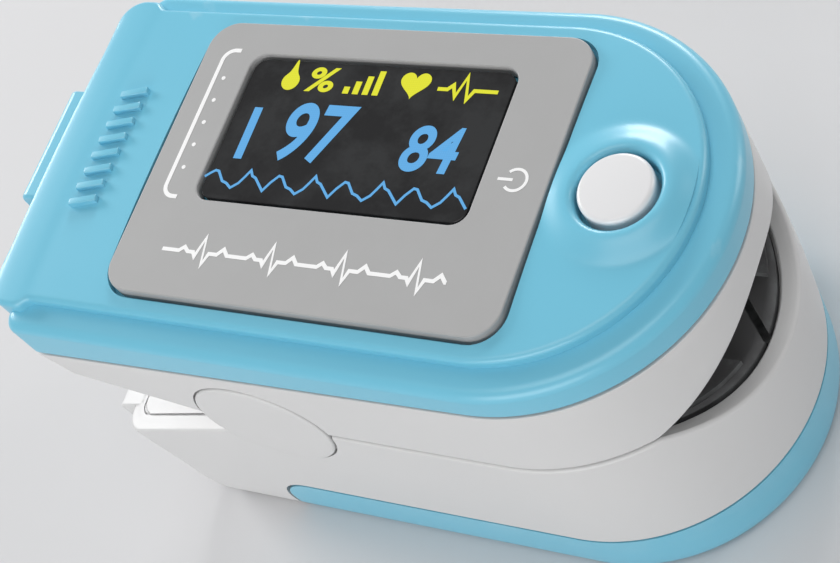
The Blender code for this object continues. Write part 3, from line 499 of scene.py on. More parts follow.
def coverPlateau():
    def underside(lift):
        return lambda x, y: (cover["handleFloor"] if x < cover["handleX"] else cover["plateauFoot"]) + lift
    fillet, rimZ, foot = cover["fillet"], cover["rimZ"], cover["footEdge"]
    profile = [(plateauInset(foot), underside(0)), (plateauInset(0.09), underside(0.09)),
               (plateauInset(0), underside(foot))]
    profile += [(plateauInset(fillet * (1 - cos(a))), rimZ - fillet * (1 - sin(a))) for a in quarterTurn(6)]
    plateau, loops = shellFrom(profile)
    closeAcross(plateau, loops[0], 2, lambda x, y, edge: underside(0)(x, y))

    def top(x, y, edge):
        z = rimZ + cover["crown"] * (edge ** 2 - y ** 2) / cover["half"] ** 2
        away = sqrt((x - cover["buttonX"]) ** 2 + y ** 2)
        return z + (cover["moundZ"] - z) * (1 - smoothStep(cover["moundFrom"], cover["moundReach"], away))
    closeAcross(plateau, loops[-1], 64, top)

    panelLow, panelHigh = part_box("display_panel")
    size = [(panelHigh[k] - panelLow[k]) / mm + 2 * seamGap for k in (0, 1)]
    middle = ((panelHigh.x + panelLow.x) / 2 / mm, 0)
    recess = extruded(roundedRectangle(size, middle, cover["panelCorner"]), "Z", panelLow.z / mm - seamGap, 36)
    hole, flareZ, wide, high = cover["buttonHole"], cover["flareZ"], cover["flareWide"], cover["flareHigh"]
    flare = [(0, 28), (hole, 28), (hole, flareZ)]
    flare += [(hole + wide * (1 - cos(a)), flareZ + high * sin(a)) for a in roundTurns]
    flare += [cover["flareTop"], (0, cover["flareTop"][1])]
    return carve(plateau, recess, lathe(flare, "Z", (cover["buttonX"], 0)))


def coverTab():
    # the tab across the rear end of the push handle
    rearX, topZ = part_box("top_cover")[0].x / mm, cover["rimZ"] + tab["lift"]
    side = [(tab["frontX"], topZ)]
    side += [(rearX + tab["round"] * (1 - sin(a)), topZ - tab["round"] * (1 - cos(a))) for a in (0, *roundTurns)]
    side += [(rearX, topZ - tab["rearDrop"]), (tab["frontX"], topZ - tab["frontDrop"])]
    return softened(extruded(side, "Y", -tab["half"], tab["half"]), tab["edge"], 4, 50)


def makeTopCover():
    shape = merged(coverSkirt(), coverPlateau(), coverTab())
    piece = newPiece("topCover", shape, "upper_jaw", blueShell)
    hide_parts("top_cover")


makeTopCover()
print("top cover made")


# white upper casing: wall, lips, tunnel ceiling and handle in one closed solid

upperJaw = {"lowRear": -24.55, "corner": 1.2, "topEdge": 0.16, "rimInset": 1.8, "rimZ": 28.4, "trayInset": 2.6,
            "trayZ": 26.3, "handleX": -10, "seatX": -12.5, "seatZ": 25.5, "screwX": -16.5, "screwY": 8.5,
            "screwRadius": 2.0, "screwLift": 2.2, "screwDepth": 6}


def upperEdgeZ(x, y):
    z = form["split"] + seamGap / 2
    if x < upperJaw["handleX"]:
        z = max(z, upperHandleZ(x))
    if x > 0:
        z = max(z, archZ(y))
    return z


def upperSeatZ(x, y):
    if x > form["tunnelEnd"]:
        return max(form["split"] + form["seatStep"], archZ(y, form["padBed"]))
    return upperJaw["seatZ"] if x > upperJaw["seatX"] else upperEdgeZ(x, y)


def makeUpperCasing():
    lowRear, topEdge, rimInset, rimZ = (upperJaw[key] for key in ("lowRear", "topEdge", "rimInset", "rimZ"))
    trayInset, bend, lip, lipEdge = upperJaw["trayInset"], form["edge"], form["lipWidth"], form["lipEdge"]

    def wallAt(inset, share):
        rear = lowRear + (form["rear"] - lowRear) * share
        return planOutline(form["half"] - inset, rear + inset, upperJaw["corner"])

    def ceiling(drop):
        return lambda x, y: seamZ(x) - seamGap / 2 - drop

    def edge(lift):
        return lambda x, y: upperEdgeZ(x, y) + lift

    def between(share):
        return lambda x, y: edge(bend)(x, y) + (ceiling(topEdge)(x, y) - edge(bend)(x, y)) * share
    profile = [(wallAt(lip, 0), upperSeatZ), (wallAt(lip, 0), edge(lipEdge))]
    profile += [(wallAt(inset, 0), edge(0)) for inset in (lip - lipEdge, form["lipFlat"], bend)]
    profile += [(wallAt(bend * (1 - sin(a)), 0), edge(bend * (1 - cos(a)))) for a in edgeTurns[:-1]]
    profile += [(wallAt(0, k / 6), between(k / 6)) for k in range(7)]
    profile += [(wallAt(inset, 1), height) for inset, height in (
        (0.05, ceiling(0.05)), (topEdge, ceiling(0)), (rimInset, ceiling(0)), (rimInset, rimZ),
        (trayInset, rimZ), (trayInset, upperJaw["trayZ"]))]
    casing, loops = shellFrom(profile)
    closeAcross(casing, loops[0], 48, lambda x, y, edgeY: upperSeatZ(x, y))
    closeAcross(casing, loops[-1])
    tools = capRecesses()
    radius, seat = upperJaw["screwRadius"], upperHandleZ(upperJaw["screwX"]) + upperJaw["screwLift"]
    foot = seat - upperJaw["screwDepth"]
    bore = [(0, foot), (radius, foot), (radius, seat), (0, seat)]
    tools += [lathe(bore, "Z", (upperJaw["screwX"], side * upperJaw["screwY"]), 48) for side in (-1, 1)]
    piece = newPiece("upperCasing", carve(casing, *tools), "upper_jaw", whiteShell)
    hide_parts("upper_casing")


makeUpperCasing()
print("upper casing made")


# lower jaw: white casing and blue battery cover are cut from the same body shape

lower = {"sections": [(0.0, 13.9, -21.5), (0.12, 14.25, -22.2), (0.35, 14.55, -23.0), (0.7, 14.76, -23.7),
                      (1.2, 14.9, -24.3), (2.0, 14.97, -24.75), (3.2, 15.02, -25.1), (6.0, 15.1, -25.5),
                      (12.0, 15.4, -26.2), (19.5, 15.5, -26.6)],
         "corner": 2.0, "draftZ": 12.0, "wallFrom": 6.0, "handleX": -4, "seatX": -11.9, "seatZ": 15.3,
         "coverTop": 5.9, "coverRear": -14.6, "coverCorner": 3.4, "coverWall": 1.2, "coverHalf": 15.0,
         "bay": (13.6, -23.9, 1.0), "bayFloor": 1.4, "bayCeiling": 12.5}
groove = {"centre": (-18.9, 0), "size": (11.6, 27.7), "corner": 1.0, "width": 0.16, "depth": 0.22}
handleLip = {"frontX": -25.0, "frontZ": 8.7, "half": 13.1, "edge": 0.25}


def lowerSection(z):
    for under, over in zip(lower["sections"], lower["sections"][1:]):
        if z <= over[0]:
            share = (z - under[0]) / (over[0] - under[0])
            return [a + (b - a) * share for a, b in zip(under, over)][1:]
    return lower["sections"][-1][1:]


def lowerEdgeZ(x, y):
    z = form["split"] - seamGap / 2
    if x < lower["handleX"]:
        z = min(z, lowerHandleZ(x))
    if x > 0:
        z = min(z, cradleZ(y))
    return z


def lowerSeatZ(x, y):
    if x > form["tunnelEnd"]:
        return min(form["split"] - form["seatStep"], cradleZ(y, -form["padBed"]))
    return lower["seatZ"] if x > lower["seatX"] else lowerEdgeZ(x, y)


def lowerOutline(z, inset=0.0):
    half, rear = lowerSection(z)
    return planOutline(half - inset, rear + inset, lower["corner"])


def wallRow(heightAt, inset=0.0):
    # a row whose height differs along the wall still sits on the wall's own draft
    noseX, (baseHalf, baseRear) = form["noseX"], lowerSection(lower["draftZ"])
    row = []
    for x, y in lowerOutline(lower["draftZ"]):
        half, rear = lowerSection(heightAt(x, y))
        slim = (half - inset) / baseHalf
        reach = x - noseX
        stretch = slim if reach > 0 else (noseX - rear - inset) / (noseX - baseRear)
        row.append((noseX + reach * stretch, y * slim))
    return row


def risingRow(bm, heightAt, inset=0.0, ownHeight=False):
    places = wallRow(heightAt, inset)
    return [bm.verts.new((x, y, heightAt(x, y) if ownHeight else heightAt(*base)))
            for (x, y), base in zip(places, lowerOutline(lower["draftZ"]))]


def makeLowerBody(topZ=None):
    # up to the jaw's edge, or to a level top at topZ
    bm = bmesh.new()
    start, bend, lip, lipEdge = lower["wallFrom"], form["edge"], form["lipWidth"], form["lipEdge"]
    loops = [loopAt(bm, lowerOutline(z), z) for z, _, _ in lower["sections"] if z < 5.5]
    loops.append(loopAt(bm, lowerOutline(topZ or start), topZ or start))
    if not topZ:
        def share(t, lift=bend):
            return lambda x, y: start + (lowerEdgeZ(x, y) - lift - start) * t
        loops += [risingRow(bm, share(k / 6)) for k in range(1, 7)]
        for a in edgeTurns:
            loops.append(risingRow(bm, share(1, bend * (1 - sin(a))), bend * (1 - cos(a))))
        loops.append(risingRow(bm, lowerEdgeZ, form["lipFlat"], True))
        loops.append(risingRow(bm, lowerEdgeZ, lip - lipEdge, True))
        loops.append(risingRow(bm, lambda x, y: lowerEdgeZ(x, y) - lipEdge, lip, True))
        loops.append(risingRow(bm, lowerSeatZ, lip, True))
    for a, b in zip(loops, loops[1:]):
        bridge(bm, a, b)
    closeAcross(bm, loops[0])
    if topZ:
        closeAcross(bm, loops[-1])
    else:
        closeAcross(bm, loops[-1], 48, lambda x, y, edgeY: lowerSeatZ(x, y))
    return bm


def coverSeam(reach):
    # the round rear corner of the seam, seen from the side
    middle = (lower["coverRear"] + lower["coverCorner"], lower["coverTop"] - lower["coverCorner"])
    return arcPoints(middle, reach, pi / 2, pi, 24)


def makeLowerCasing():
    seam = [(40, -3), (40, lower["coverTop"] + seamGap / 2), *coverSeam(lower["coverCorner"] + seamGap / 2),
            (lower["coverRear"] - seamGap / 2, -3)]
    floorPlan = planOutline(*lower["bay"])
    bay = closedShell([(floorPlan, lower["bayFloor"]), (floorPlan, lower["bayCeiling"])])
    body = carve(makeLowerBody(), extruded(seam, "Y", -20, 20), bay, *capRecesses(), grooveTool(**groove))

    lipEnd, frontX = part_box("lower_casing")[0].x / mm, handleLip["frontX"]
    side = [(frontX, lowerHandleZ(frontX)), (lipEnd + 0.35, lowerHandleZ(lipEnd + 0.35)),
            (lipEnd + 0.08, lowerHandleZ(lipEnd) - 0.06), (lipEnd, lowerHandleZ(lipEnd) - 0.35),
            (lipEnd + 0.15, 9.75), (lipEnd + 0.5, 9.5), (frontX, handleLip["frontZ"])]
    lip = softened(extruded(side, "Y", -handleLip["half"], handleLip["half"]), handleLip["edge"], 3, 60)
    piece = newPiece("lowerCasing", merged(body, lip), "lower_jaw", whiteShell)
    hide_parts("lower_casing")


def grooveTool(centre, size, corner, width, depth):
    # a thin closed rounded-rectangle groove that follows the slope of the lower handle
    bm = bmesh.new()
    loops = []
    for grow, lift in ((0, -depth), (width, -depth), (width, 1.0), (0, 1.0)):
        ring = roundedRectangle((size[0] + 2 * grow, size[1] + 2 * grow), centre, corner + grow)
        loops.append([bm.verts.new((x, y, lowerHandleZ(x) + lift)) for x, y in ring])
    for a, b in zip(loops, loops[1:] + loops[:1]):
        bridge(bm, a, b)
    bmesh.ops.recalc_face_normals(bm, faces=bm.faces)
    return bm


def makeBatteryCover():
    behind = [(-40, -3), (lower["coverRear"] + seamGap / 2, -3)]
    behind += coverSeam(lower["coverCorner"] - seamGap / 2)[::-1]
    behind += [(lower["coverRear"] + lower["coverCorner"], 12), (-40, 12)]
    inside = planOutline(lower["coverHalf"] - lower["coverWall"], -30.0, 1.0)
    hollow = closedShell([(inside, lower["coverWall"]), (inside, 12.0)])
    body = carve(makeLowerBody(lower["coverTop"] - seamGap / 2), extruded(behind, "Y", -20, 20), hollow)
    piece = newPiece("batteryCover", body, "battery_door", blueShell)
    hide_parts("battery_cover")


makeLowerCasing()
makeBatteryCover()
print("lower casing and battery cover made")


# finger pads: dark grey silicone with rounded rims

pad = {"half": 10.9, "rim": 0.22, "lengthSteps": 70, "widthSteps": 60, "upperSkin": (-0.4, 0.6),
       "lowerSkin": (-0.6, 0.35), "upperRear": -1.4, "lensX": (5.1, 10.9), "lensY": (-2.9, 2.9),
       "slotFrom": (24.5, 1.75), "slotTo": (27.1, -1.2), "slotWide": 0.6, "slotShadeStrip": (14.9, 0.16)}
cushion = {"y": (3.5, 9.5), "frontX": 26.2, "lift": 0.5, "foot": -0.2, "steps": 24, "columns": 10, "edge": 0.12}
fingerStop = {"x": (-3.2, -2.2), "half": 8, "baseZ": 16.6, "rise": 3.8, "power": 0.6, "footZ": 16.4, "edge": 0.3}


def padFront(y):
    nose = form["half"] - form["lipWidth"] - seamGap
    return form["noseX"] + sqrt(nose ** 2 - y ** 2)


def closeSkins(bm, below, above):
    # joins two skins of vertices on one grid into a closed solid
    for rows in (below, above):
        for a, b in zip(rows, rows[1:]):
            for j in range(len(a) - 1):
                bm.faces.new((a[j], a[j + 1], b[j + 1], b[j]))
    rim = [(r[0], s[0]) for r, s in zip(below, above)]
    rim += list(zip(below[-1][1:], above[-1][1:]))
    rim += [(r[-1], s[-1]) for r, s in zip(reversed(below[:-1]), reversed(above[:-1]))]
    rim += list(zip(reversed(below[0][1:-1]), reversed(above[0][1:-1])))
    for (a, b), (c, d) in zip(rim, rim[1:] + rim[:1]):
        bm.faces.new((a, c, d, b))
    bmesh.ops.recalc_face_normals(bm, faces=bm.faces)
    return bm


def makePadSolid(heightAt, low, high, rimAt, rearX):
    # two skins on one grid; the skin that faces the finger rolls over at the rim
    bm = bmesh.new()
    skins = []
    for facing in (low, high):
        rows = []
        for i in range(pad["lengthSteps"] + 1):
            row = []
            for j in range(pad["widthSteps"] + 1):
                y = pad["half"] * (2 * j / pad["widthSteps"] - 1)
                x = rearX + (padFront(y) - rearX) * i / pad["lengthSteps"]
                z = heightAt(y, facing)
                if facing == rimAt:
                    near = min(pad["half"] - abs(y), padFront(y) - x, x - rearX)
                    roll = min(max(near / pad["rim"], 0), 1)
                    z += (pad["rim"] * (1 - sqrt(1 - (1 - roll) ** 2))) * (1 if rimAt == low else -1)
                row.append(bm.verts.new((x, y, z)))
            rows.append(row)
        skins.append(rows)
    return closeSkins(bm, *skins)


def cushionAt(side):
    # a low raised cushion along one side of the lower pad
    (near, far), steps, columns = cushion["y"], cushion["steps"], cushion["columns"]
    bm = bmesh.new()
    skins = []
    for lift in (cushion["foot"], pad["lowerSkin"][1] + cushion["lift"]):
        rows = []
        for i in range(steps + 1):
            row = []
            for j in range(columns + 1):
                y = near + (far - near) * j / columns
                x = min(cushion["frontX"] * i / steps, padFront(y) - 0.5)
                row.append(bm.verts.new((x, side * y, cradleZ(y, lift))))
            rows.append(row)
        skins.append(rows)
    return softened(closeSkins(bm, *skins), cushion["edge"], 2, 50, 15.4)


def blockTool(xRange, yRange, zRange):
    (x0, x1), (y0, y1) = xRange, yRange
    return extruded([(x0, y0), (x1, y0), (x1, y1), (x0, y1)], "Z", *zRange)


def makeFingerStop():
    half, baseZ, rise, footZ = (fingerStop[key] for key in ("half", "baseZ", "rise", "footZ"))
    arch = [(half * cos(pi * k / 40), baseZ + rise * sin(pi * k / 40) ** fingerStop["power"]) for k in range(41)]
    wall = extruded(arch + [(-half, footZ), (half, footZ)], "X", *fingerStop["x"])
    return softened(wall, fingerStop["edge"], 3, 50)


def makePads():
    low, high = pad["upperSkin"]
    # the upper pad stops short of the flat cable, so that the pad can swing past it
    top = makePadSolid(archZ, low, high, low, pad["upperRear"])
    upper = carve(top, blockTool(pad["lensX"], pad["lensY"], (20, 27)))
    piece = newPiece("upperFingerPad", upper, "upper_jaw", siliconePad)
    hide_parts("upper_finger_pad")
    low, high = pad["lowerSkin"]
    # a narrow slot crosses the lower pad near its front edge
    slot, wide = [pad["slotFrom"], pad["slotTo"]], pad["slotWide"]
    bottom = makePadSolid(cradleZ, low, high, high, form["tunnelEnd"] + seamGap)
    bottom = carve(bottom, blockTool(pad["lensX"], pad["lensY"], (12, 18)), ribbon(slot, wide, 15.02, 4.98))
    bottom = merged(bottom, makeFingerStop(), cushionAt(1), cushionAt(-1))
    piece = newPiece("lowerFingerPad", bottom, "lower_jaw", siliconePad)
    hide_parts("lower_finger_pad")
    # a thin black strip on the slot's floor: painted shade that makes the groove read dark
    newPiece("padSlotShade", ribbon(slot, wide, *pad["slotShadeStrip"]), "lower_jaw", blackPlastic)


makePads()
print("finger pads made")


# grey panel, window and button

panel = {"corner": 2.3, "edge": 0.12, "holeCorner": 1.3, "paneCorner": 1.0, "paneEdge": 0.08}
button = {"radius": 2.7, "edge": 0.35, "crown": 0.1, "flange": 3.4, "flangeThick": 0.45, "steps": 8}
cap = {"footY": 15.2, "faceY": 15.64, "edge": 0.22, "dishShare": 0.6, "dishRim": 0.04, "dish": 0.07}


def makePanel():
    low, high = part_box("display_panel")
    size = [(high[k] - low[k]) / mm for k in (0, 1)]
    middle = ((high.x + low.x) / 2 / mm, 0)
    paneLow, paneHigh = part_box("display_window")
    paneSize = [(paneHigh[k] - paneLow[k]) / mm for k in (0, 1)]
    paneMiddle = [(paneHigh[k] + paneLow[k]) / 2 / mm for k in (0, 1)]
    holeSize = [side + 2 * seamGap for side in paneSize]
    plate = carve(extruded(roundedRectangle(size, middle, panel["corner"]), "Z", low.z / mm, high.z / mm),
                  extruded(roundedRectangle(holeSize, paneMiddle, panel["holeCorner"]), "Z", 30, 34))
    plate = softened(plate, panel["edge"], 3, 50, high.z / mm - 0.01)
    piece = newPiece("displayPanel", plate, "upper_jaw", greyPanel)
    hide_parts("display_panel")
    pane = roundedRectangle(paneSize, paneMiddle, panel["paneCorner"])
    pane = extruded(pane, "Z", paneLow.z / mm, paneHigh.z / mm)
    pane = softened(pane, panel["paneEdge"], 2, 50, paneHigh.z / mm - 0.01)
    piece = newPiece("displayWindow", pane, "upper_jaw", windowPane)
    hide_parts("display_window")


def makeButton():
    low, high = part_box("power_button")
    foot, top = low.z / mm, high.z / mm
    radius, edge, crown, flange, steps = (button[key] for key in ("radius", "edge", "crown", "flange", "steps"))
    brim = foot + button["flangeThick"]
    profile = [(0, foot), (flange, foot), (flange, brim), (radius, brim)]
    profile += [(radius - edge * (1 - cos(a)), top - crown - edge * (1 - sin(a))) for a in quarterTurn(steps)]
    profile += [((radius - edge) * share, top - crown * share ** 2)
                for share in [1 - k / steps for k in range(1, steps + 1)]]
    shape = lathe(profile, "Z", (cover["buttonX"], 0), 96)
    piece = newPiece("powerButton", shape, "button", buttonCap, 50)
    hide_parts("power_button")


def makeHingeCaps():
    footY, faceY, edge = cap["footY"], cap["faceY"], cap["edge"]
    for name, side in (("Left", 1), ("Right", -1)):
        low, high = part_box("hinge_cap_" + name.lower())
        radius = (high.x - low.x) / 2 / mm
        profile = [(0, footY), (radius, footY), (radius, faceY - edge)]
        profile += [(radius - edge * (1 - cos(a)), faceY - edge + edge * sin(a)) for a in edgeTurns]
        profile += [(radius * cap["dishShare"], faceY - cap["dishRim"]), (0, faceY - cap["dish"])]
        shape = lathe([(r, side * along) for r, along in profile], "Y", form["hinge"], 120)
        piece = newPiece("hingeCap" + name, shape, "lower_jaw", whiteShell)
        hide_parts("hinge_cap_" + name.lower())


makePanel()
makeButton()
makeHingeCaps()
print("panel, button and hinge caps made")


# printed and lit marks: thin raised ink

def numerals(body, lowCorner, highCorner, z, weight=0.02, lean=0.12):
    line = bpy.data.curves.new("numerals", "FONT")
    line.body = body
    line.offset = weight
    line.shear = lean
    line.extrude = 0.01
    holder = newObject("numerals", line)
    made = evaluatedMesh(holder)
    bpy.data.objects.remove(holder)
    bm = bmesh.new()
    bm.from_mesh(made)
    bpy.data.meshes.remove(made)
    xs = [v.co.x for v in bm.verts]
    ys = [v.co.y for v in bm.verts]
    for v in bm.verts:
        v.co.x = lowCorner[0] + (v.co.x - min(xs)) / (max(xs) - min(xs)) * (highCorner[0] - lowCorner[0])
        v.co.y = lowCorner[1] + (v.co.y - min(ys)) / (max(ys) - min(ys)) * (highCorner[1] - lowCorner[1])
        v.co.z = z + (inkThick if v.co.z > 0 else 0.0)
    return bm


marks = {"ink": 0.34, "trace": 0.3, "bracketX": -14.8, "bracketTop": 9.28, "bracketBottom": -3.8,
         "bracketFoot": -13.4, "bracketCorner": 0.95, "powerAt": (13.55, 0.1), "powerRadius": 0.85,
         "powerGap": 0.75, "powerInk": 0.22, "powerBar": (-1.35, -0.2), "bandY": -8.15, "bandX": (-12.6, 11.3),
         "bandStep": 6.0,
         "bandBeat": [(0.0, 0.0), (1.5, 0.0), (1.9, 0.35), (2.3, 0.0), (2.8, 0.0), (3.05, -0.35), (3.45, 1.3),
                      (3.9, -0.95), (4.2, 0.0), (4.9, 0.0), (5.35, 0.5), (5.8, 0.0)]}
readings = {"lift": 0.003, "oxygen": ("97", (-6.75, 0.12), (-0.95, 5.2)),
            "pulse": ("84", (3.85, 0.15), (8.35, 4.0)), "levelBar": ((-10.12, 0.0), (-9.4, 4.5)), "trace": 0.2,
            "traceStart": [(-11.9, -1.75), (-11.5, -1.4)],
            "traceX": -11.15, "traceStep": 5.7, "traceEnd": (10.5, -2.35),
            "beats": [(0.0, -1.15), (0.3, -1.2), (0.95, -2.0), (1.4, -2.15), (1.9, -2.5), (2.45, -2.05),
                      (2.75, -1.55), (3.1, -0.9), (3.4, -1.35), (3.75, -1.5), (4.75, -2.5), (5.2, -1.75)]}
labels = {"drop": (-8.0, 7.05), "dropSize": (0.78, 0.85), "percent": ((-6.5, 6.2), (-4.0, 8.35)),
          "stepsFrom": (-3.1, 6.2), "stepsGap": 0.85, "stepWide": 0.5, "stepLow": 0.6, "stepRise": 0.5,
          "heart": (2.7, 7.4), "heartScale": 0.078, "beatInk": 0.3,
          "beat": [(4.7, 7.1), (5.5, 7.1), (5.9, 7.5), (6.3, 6.5), (6.8, 8.3), (7.3, 6.3), (7.7, 7.1),
                   (9.6, 7.1)]}


def inkBlock(low, high, z):
    (x0, y0), (x1, y1) = low, high
    return extruded([(x0, y0), (x1, y0), (x1, y1), (x0, y1)], "Z", z, z + inkThick)


def makePanelPrint():
    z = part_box("display_panel")[1].z / mm
    x, top, bottom, corner = (marks["bracket" + key] for key in ("X", "Top", "Bottom", "Corner"))
    line = [(marks["bracketFoot"], top)] + arcPoints((x + corner, top - corner), corner, pi / 2, pi)
    line += arcPoints((x + corner, bottom + corner), corner, pi, pi * 1.5) + [(marks["bracketFoot"], bottom)]
    ink = [ribbon(line, marks["ink"], z)]
    (cx, cy), gap, (barFrom, barTo) = marks["powerAt"], marks["powerGap"], marks["powerBar"]
    ring = arcPoints((cx, cy), marks["powerRadius"], pi + gap, 3 * pi - gap, 40)
    ink += [ribbon(line, marks["powerInk"], z) for line in (ring, [(cx + barFrom, cy), (cx + barTo, cy)])]
    # a pulse trace in the band under the window
    start, end = marks["bandX"]
    trace = [(start + turn * marks["bandStep"] + px, marks["bandY"] + py)
             for turn in range(4) for px, py in marks["bandBeat"]]
    ink.append(ribbon(trace + [(end, marks["bandY"])], marks["trace"], z))
    newPiece("panelPrint", merged(*ink), "upper_jaw", panelPrint, 60)


def makeScreenMarks():
    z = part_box("display_window")[1].z / mm + readings["lift"]
    blue = [numerals(*readings[key], z) for key in ("oxygen", "pulse")] + [inkBlock(*readings["levelBar"], z)]
    # two unequal beats, four times over
    wave = list(readings["traceStart"])
    for turn in range(4):
        x = readings["traceX"] + readings["traceStep"] * turn
        wave += [(x + px, py) for px, py in readings["beats"][:12 if turn < 3 else 10]]
    blue.append(ribbon(wave + [readings["traceEnd"]], readings["trace"], z))
    newPiece("screenReadings", merged(*blue), "upper_jaw", litBlue, 60)

    # droplet, percent sign and level steps for the oxygen reading
    (x, y), (wide, high) = labels["drop"], labels["dropSize"]
    drop = [(x + wide * sin(a) * (1 - 0.5 * exp(-((a - pi) / 0.9) ** 2)), y - high * cos(a))
            for a in [2 * pi * k / 48 for k in range(48)]]
    drop = [(px, py + (exp(-((px - x) / 0.22) ** 2) if py > y + 0.55 else 0)) for px, py in drop]
    yellow = [extruded(drop, "Z", z, z + inkThick), numerals("%", *labels["percent"], z)]
    for k in range(4):
        x, y = labels["stepsFrom"][0] + k * labels["stepsGap"], labels["stepsFrom"][1]
        high = y + labels["stepLow"] + k * labels["stepRise"]
        yellow.append(inkBlock((x, y), (x + labels["stepWide"], high), z))
    # heart and a short beat for the pulse reading
    (x, y), scale = labels["heart"], labels["heartScale"]
    heart = [(x + scale * 16 * sin(a) ** 3,
              y + scale * (13 * cos(a) - 5 * cos(2 * a) - 2 * cos(3 * a) - cos(4 * a)))
             for a in [2 * pi * k / 60 for k in range(60)]]
    yellow += [extruded(heart, "Z", z, z + inkThick), ribbon(labels["beat"], labels["beatInk"], z)]
    newPiece("screenLabels", merged(*yellow), "upper_jaw", litYellow, 60)


makePanelPrint()
makeScreenMarks()
print("print and readings made")


# rows of marks made with Geometry Nodes: raised bars on the push handle, printed dots by the bracket

def buildRowOfMarks():
    tree = bpy.data.node_groups.new("rowOfMarks", "GeometryNodeTree")
    tree.is_modifier = True
    tree.interface.new_socket("Geometry", in_out="INPUT", socket_type="NodeSocketGeometry")
    settings = (("Count", "NodeSocketInt", 4), ("Start", "NodeSocketVector", (0, 0, 0)),
                ("Step", "NodeSocketVector", (0, 0.003, 0)), ("Finish", "NodeSocketMaterial", None))
    for label, kind, value in settings:
        socket = tree.interface.new_socket(label, in_out="INPUT", socket_type=kind)
        if value is not None:
            socket.default_value = value
    tree.interface.new_socket("Geometry", in_out="OUTPUT", socket_type="NodeSocketGeometry")
    inside, out = tree.nodes.new("NodeGroupInput"), tree.nodes.new("NodeGroupOutput")
    line = tree.nodes.new("GeometryNodeMeshLine")
    spread = tree.nodes.new("GeometryNodeInstanceOnPoints")
    realise = tree.nodes.new("GeometryNodeRealizeInstances")
    paint = tree.nodes.new("GeometryNodeSetMaterial")
    tree.links.new(inside.outputs["Count"], line.inputs["Count"])
    tree.links.new(inside.outputs["Start"], line.inputs["Start Location"])
    tree.links.new(inside.outputs["Step"], line.inputs["Offset"])
    tree.links.new(line.outputs["Mesh"], spread.inputs["Points"])
    tree.links.new(inside.outputs["Geometry"], spread.inputs["Instance"])
    tree.links.new(spread.outputs["Instances"], realise.inputs["Geometry"])
    tree.links.new(realise.outputs["Geometry"], paint.inputs["Geometry"])
    tree.links.new(inside.outputs["Finish"], paint.inputs["Material"])
    tree.links.new(paint.outputs["Geometry"], out.inputs["Geometry"])
    return tree


rowOfMarks = buildRowOfMarks()


def makeRow(name, mark, count, start, step, body, finish):
    seed = newPiece(name + "Mark", mark, None, finish, 40)
    row = seed.modifiers.new("row", "NODES")
    row.node_group = rowOfMarks
    sockets = {item.name: item.identifier for item in rowOfMarks.interface.items_tree
               if item.item_type == "SOCKET" and item.in_out == "INPUT"}
    row[sockets["Count"]] = count
    row[sockets["Start"]] = [v * mm for v in start]
    row[sockets["Step"]] = [v * mm for v in step]
    row[sockets["Finish"]] = finish
    mesh = evaluatedMesh(seed)
    mesh.name = name
    bpy.data.objects.remove(seed)
    piece = newObject(name, mesh)
    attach(piece, body)


bars = {"from": (1.15, 0.3), "to": (-1.15, -0.3), "wide": 0.55, "low": -0.3, "thick": 0.6, "edge": 0.1,
        "count": 8, "start": (-21.6, 4.8, 32.38), "step": (-0.02, -1.4, 0)}
dots = {"radius": 0.17, "count": 5, "x": -13.95, "y": 6.72, "step": (0, -2.0, 0)}


def makeGripBars():
    # slanted raised bars in a row along the push handle
    bar = ribbon([bars["from"], bars["to"]], bars["wide"], bars["low"], bars["thick"])
    makeRow("gripBars", softened(bar, bars["edge"], 3, 50, 0.2), bars["count"], bars["start"], bars["step"],
            "upper_jaw", blueShell)


def makeDots():
    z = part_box("display_panel")[1].z / mm
    dot = extruded(arcPoints((0, 0), dots["radius"], 0, 2 * pi, 32)[:-1], "Z", 0.0, inkThick)
    makeRow("panelDots", dot, dots["count"], (dots["x"], dots["y"], z), dots["step"], "upper_jaw", panelPrint)


makeGripBars()
makeDots()
print("rows of marks made")


# round hinge ears inside the side walls, on the hinge line

ears = {"upper": ((11.9, 13.3), 4.0), "lower": ((13.6, 14.9), 4.6), "edge": 0.2}


def makeEars():
    edge = ears["edge"]
    for jaw in ("upper", "lower"):
        span, radius = ears[jaw]
        pair = []
        for side in (1, -1):
            low, high = (side * v for v in span)
            profile = [(0, low), (radius - edge, low), (radius, low + side * edge), (radius, high - side * edge),
                       (radius - edge, high), (0, high)]
            pair.append(lathe(profile, "Y", form["hinge"], 64))
        newPiece(jaw + "HingeEars", merged(*pair), jaw + "_jaw", whiteShell)


makeEars()


# finishes for the pieces kept from the frame

keptFinishes = ((blackPlastic, "display_module processor_chip driver_chip switch_plunger"),
                (boardMask, "main_board sensor_board"),
                (clearLens, "led_emitter emitter_window detector_window photodetector"),
                (batterySleeve, "battery_left battery_right"), (flexFilm, "flex_cable"),
                (steelWire, "contact_spring_left contact_spring_right torsion_spring_left torsion_spring_right"),
                (steelPlate, "button_switch bridge_contact contact_plate_left contact_plate_right "
                             "hinge_pin_left hinge_pin_right casing_screw_1 casing_screw_2 casing_screw_3 "
                             "casing_screw_4"))
for finish, nodes in keptFinishes:
    for node in nodes.split():
        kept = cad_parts[node]
        kept.data.materials.clear()
        kept.data.materials.append(finish)
print("kept pieces finished")


# floor, lights and camera

studio = {"floor": (0.62, 0.62, 0.63), "floorReach": 700.0, "floorSteps": 8, "floorZ": -0.02, "world": 0.2}
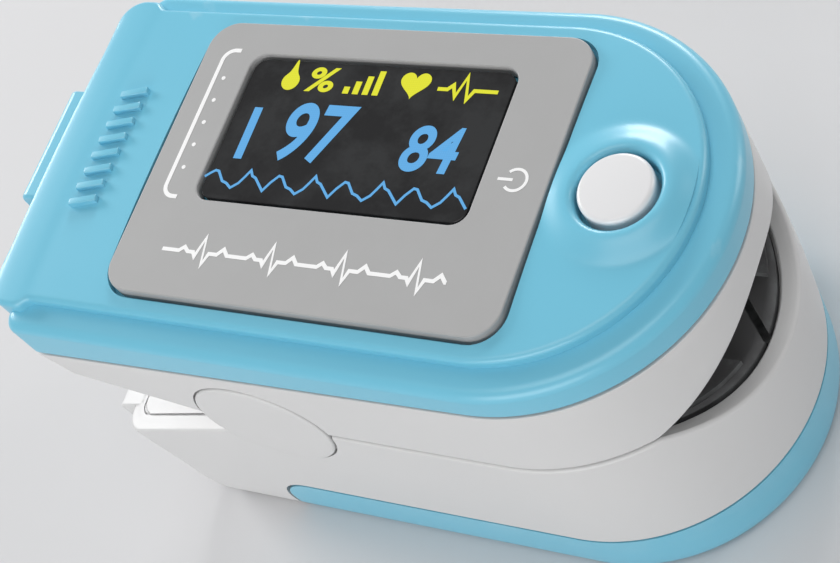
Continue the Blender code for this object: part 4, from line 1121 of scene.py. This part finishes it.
# name, place and target in metres, size in metres, watts
lamps = (("rearSoftbox", (-0.50, 0.13, 0.20), (0, 0, 0.02), (0.22, 0.16), 1.5),
         ("farSoftbox", (-0.13, 0.50, 0.20), (0, 0, 0.02), (0.22, 0.16), 1.7),
         ("topSoftbox", (0.02, -0.10, 0.50), (0, 0, 0.02), (0.35, 0.3), 0.9),
         ("nearFill", (0.06, -0.48, 0.16), (0, 0, 0.015), (0.4, 0.25), 1.35),
         ("noseStrip", (0.30, 0.30, 0.16), (0.02, 0, 0.02), (0.10, 0.25), 0.4))
view = {"lens": 81.3, "sensor": 36.0, "near": 0.005, "place": (0.07377, -0.05583, 0.12999),
        "forward": (-0.51053, 0.37662, -0.77299), "turn": -39.34}


def makeFloor():
    # a flat pale floor just below the resting surface
    bm = bmesh.new()
    reach, steps, z = studio["floorReach"], studio["floorSteps"], studio["floorZ"]
    spots = [reach * (2 * k / steps - 1) for k in range(steps + 1)]
    grid = [[bm.verts.new((x, y, z)) for y in spots] for x in spots]
    for a, b in zip(grid, grid[1:]):
        for j in range(steps):
            bm.faces.new((a[j], b[j], b[j + 1], a[j + 1]))
    finish = plasticFinish("paleFloor", studio["floor"], 0.7, drift=0.01, grainScale=300.0, grainDepth=0.0,
                           smears=0.0, edgeWear=0.0)
    floor = newPiece("floor", bm, None, finish)


def areaLight(name, place, target, size, power):
    light = bpy.data.lights.new(name, "AREA")
    light.shape = "RECTANGLE"
    light.size, light.size_y = size
    light.energy = power
    lamp = newObject(name, light)
    lamp.location = place
    lamp.rotation_euler = (Vector(target) - Vector(place)).to_track_quat("-Z", "Y").to_euler()


def makeLights():
    for lamp in lamps:
        areaLight(*lamp)
    world = bpy.data.worlds.new("studioWorld")
    world.use_nodes = True
    world.node_tree.nodes["Background"].inputs["Color"].default_value = (1, 1, 1, 1)
    world.node_tree.nodes["Background"].inputs["Strength"].default_value = studio["world"]
    bpy.context.scene.world = world
    bpy.context.scene.view_settings.view_transform = "Standard"


def makeCamera():
    lens = bpy.data.cameras.new("camera")
    lens.lens = view["lens"]
    lens.sensor_width = view["sensor"]
    lens.clip_start = view["near"]
    camera = newObject("camera", lens)
    level = Vector(view["forward"]).to_track_quat("-Z", "Y").to_matrix()
    camera.matrix_world = (Matrix.Translation(view["place"]) @ level.to_4x4()
                           @ Matrix.Rotation(radians(view["turn"]), 4, "Z"))
    bpy.context.scene.camera = camera


makeFloor()
makeLights()
makeCamera()
print("studio ready")

bpy.context.view_layer.update()
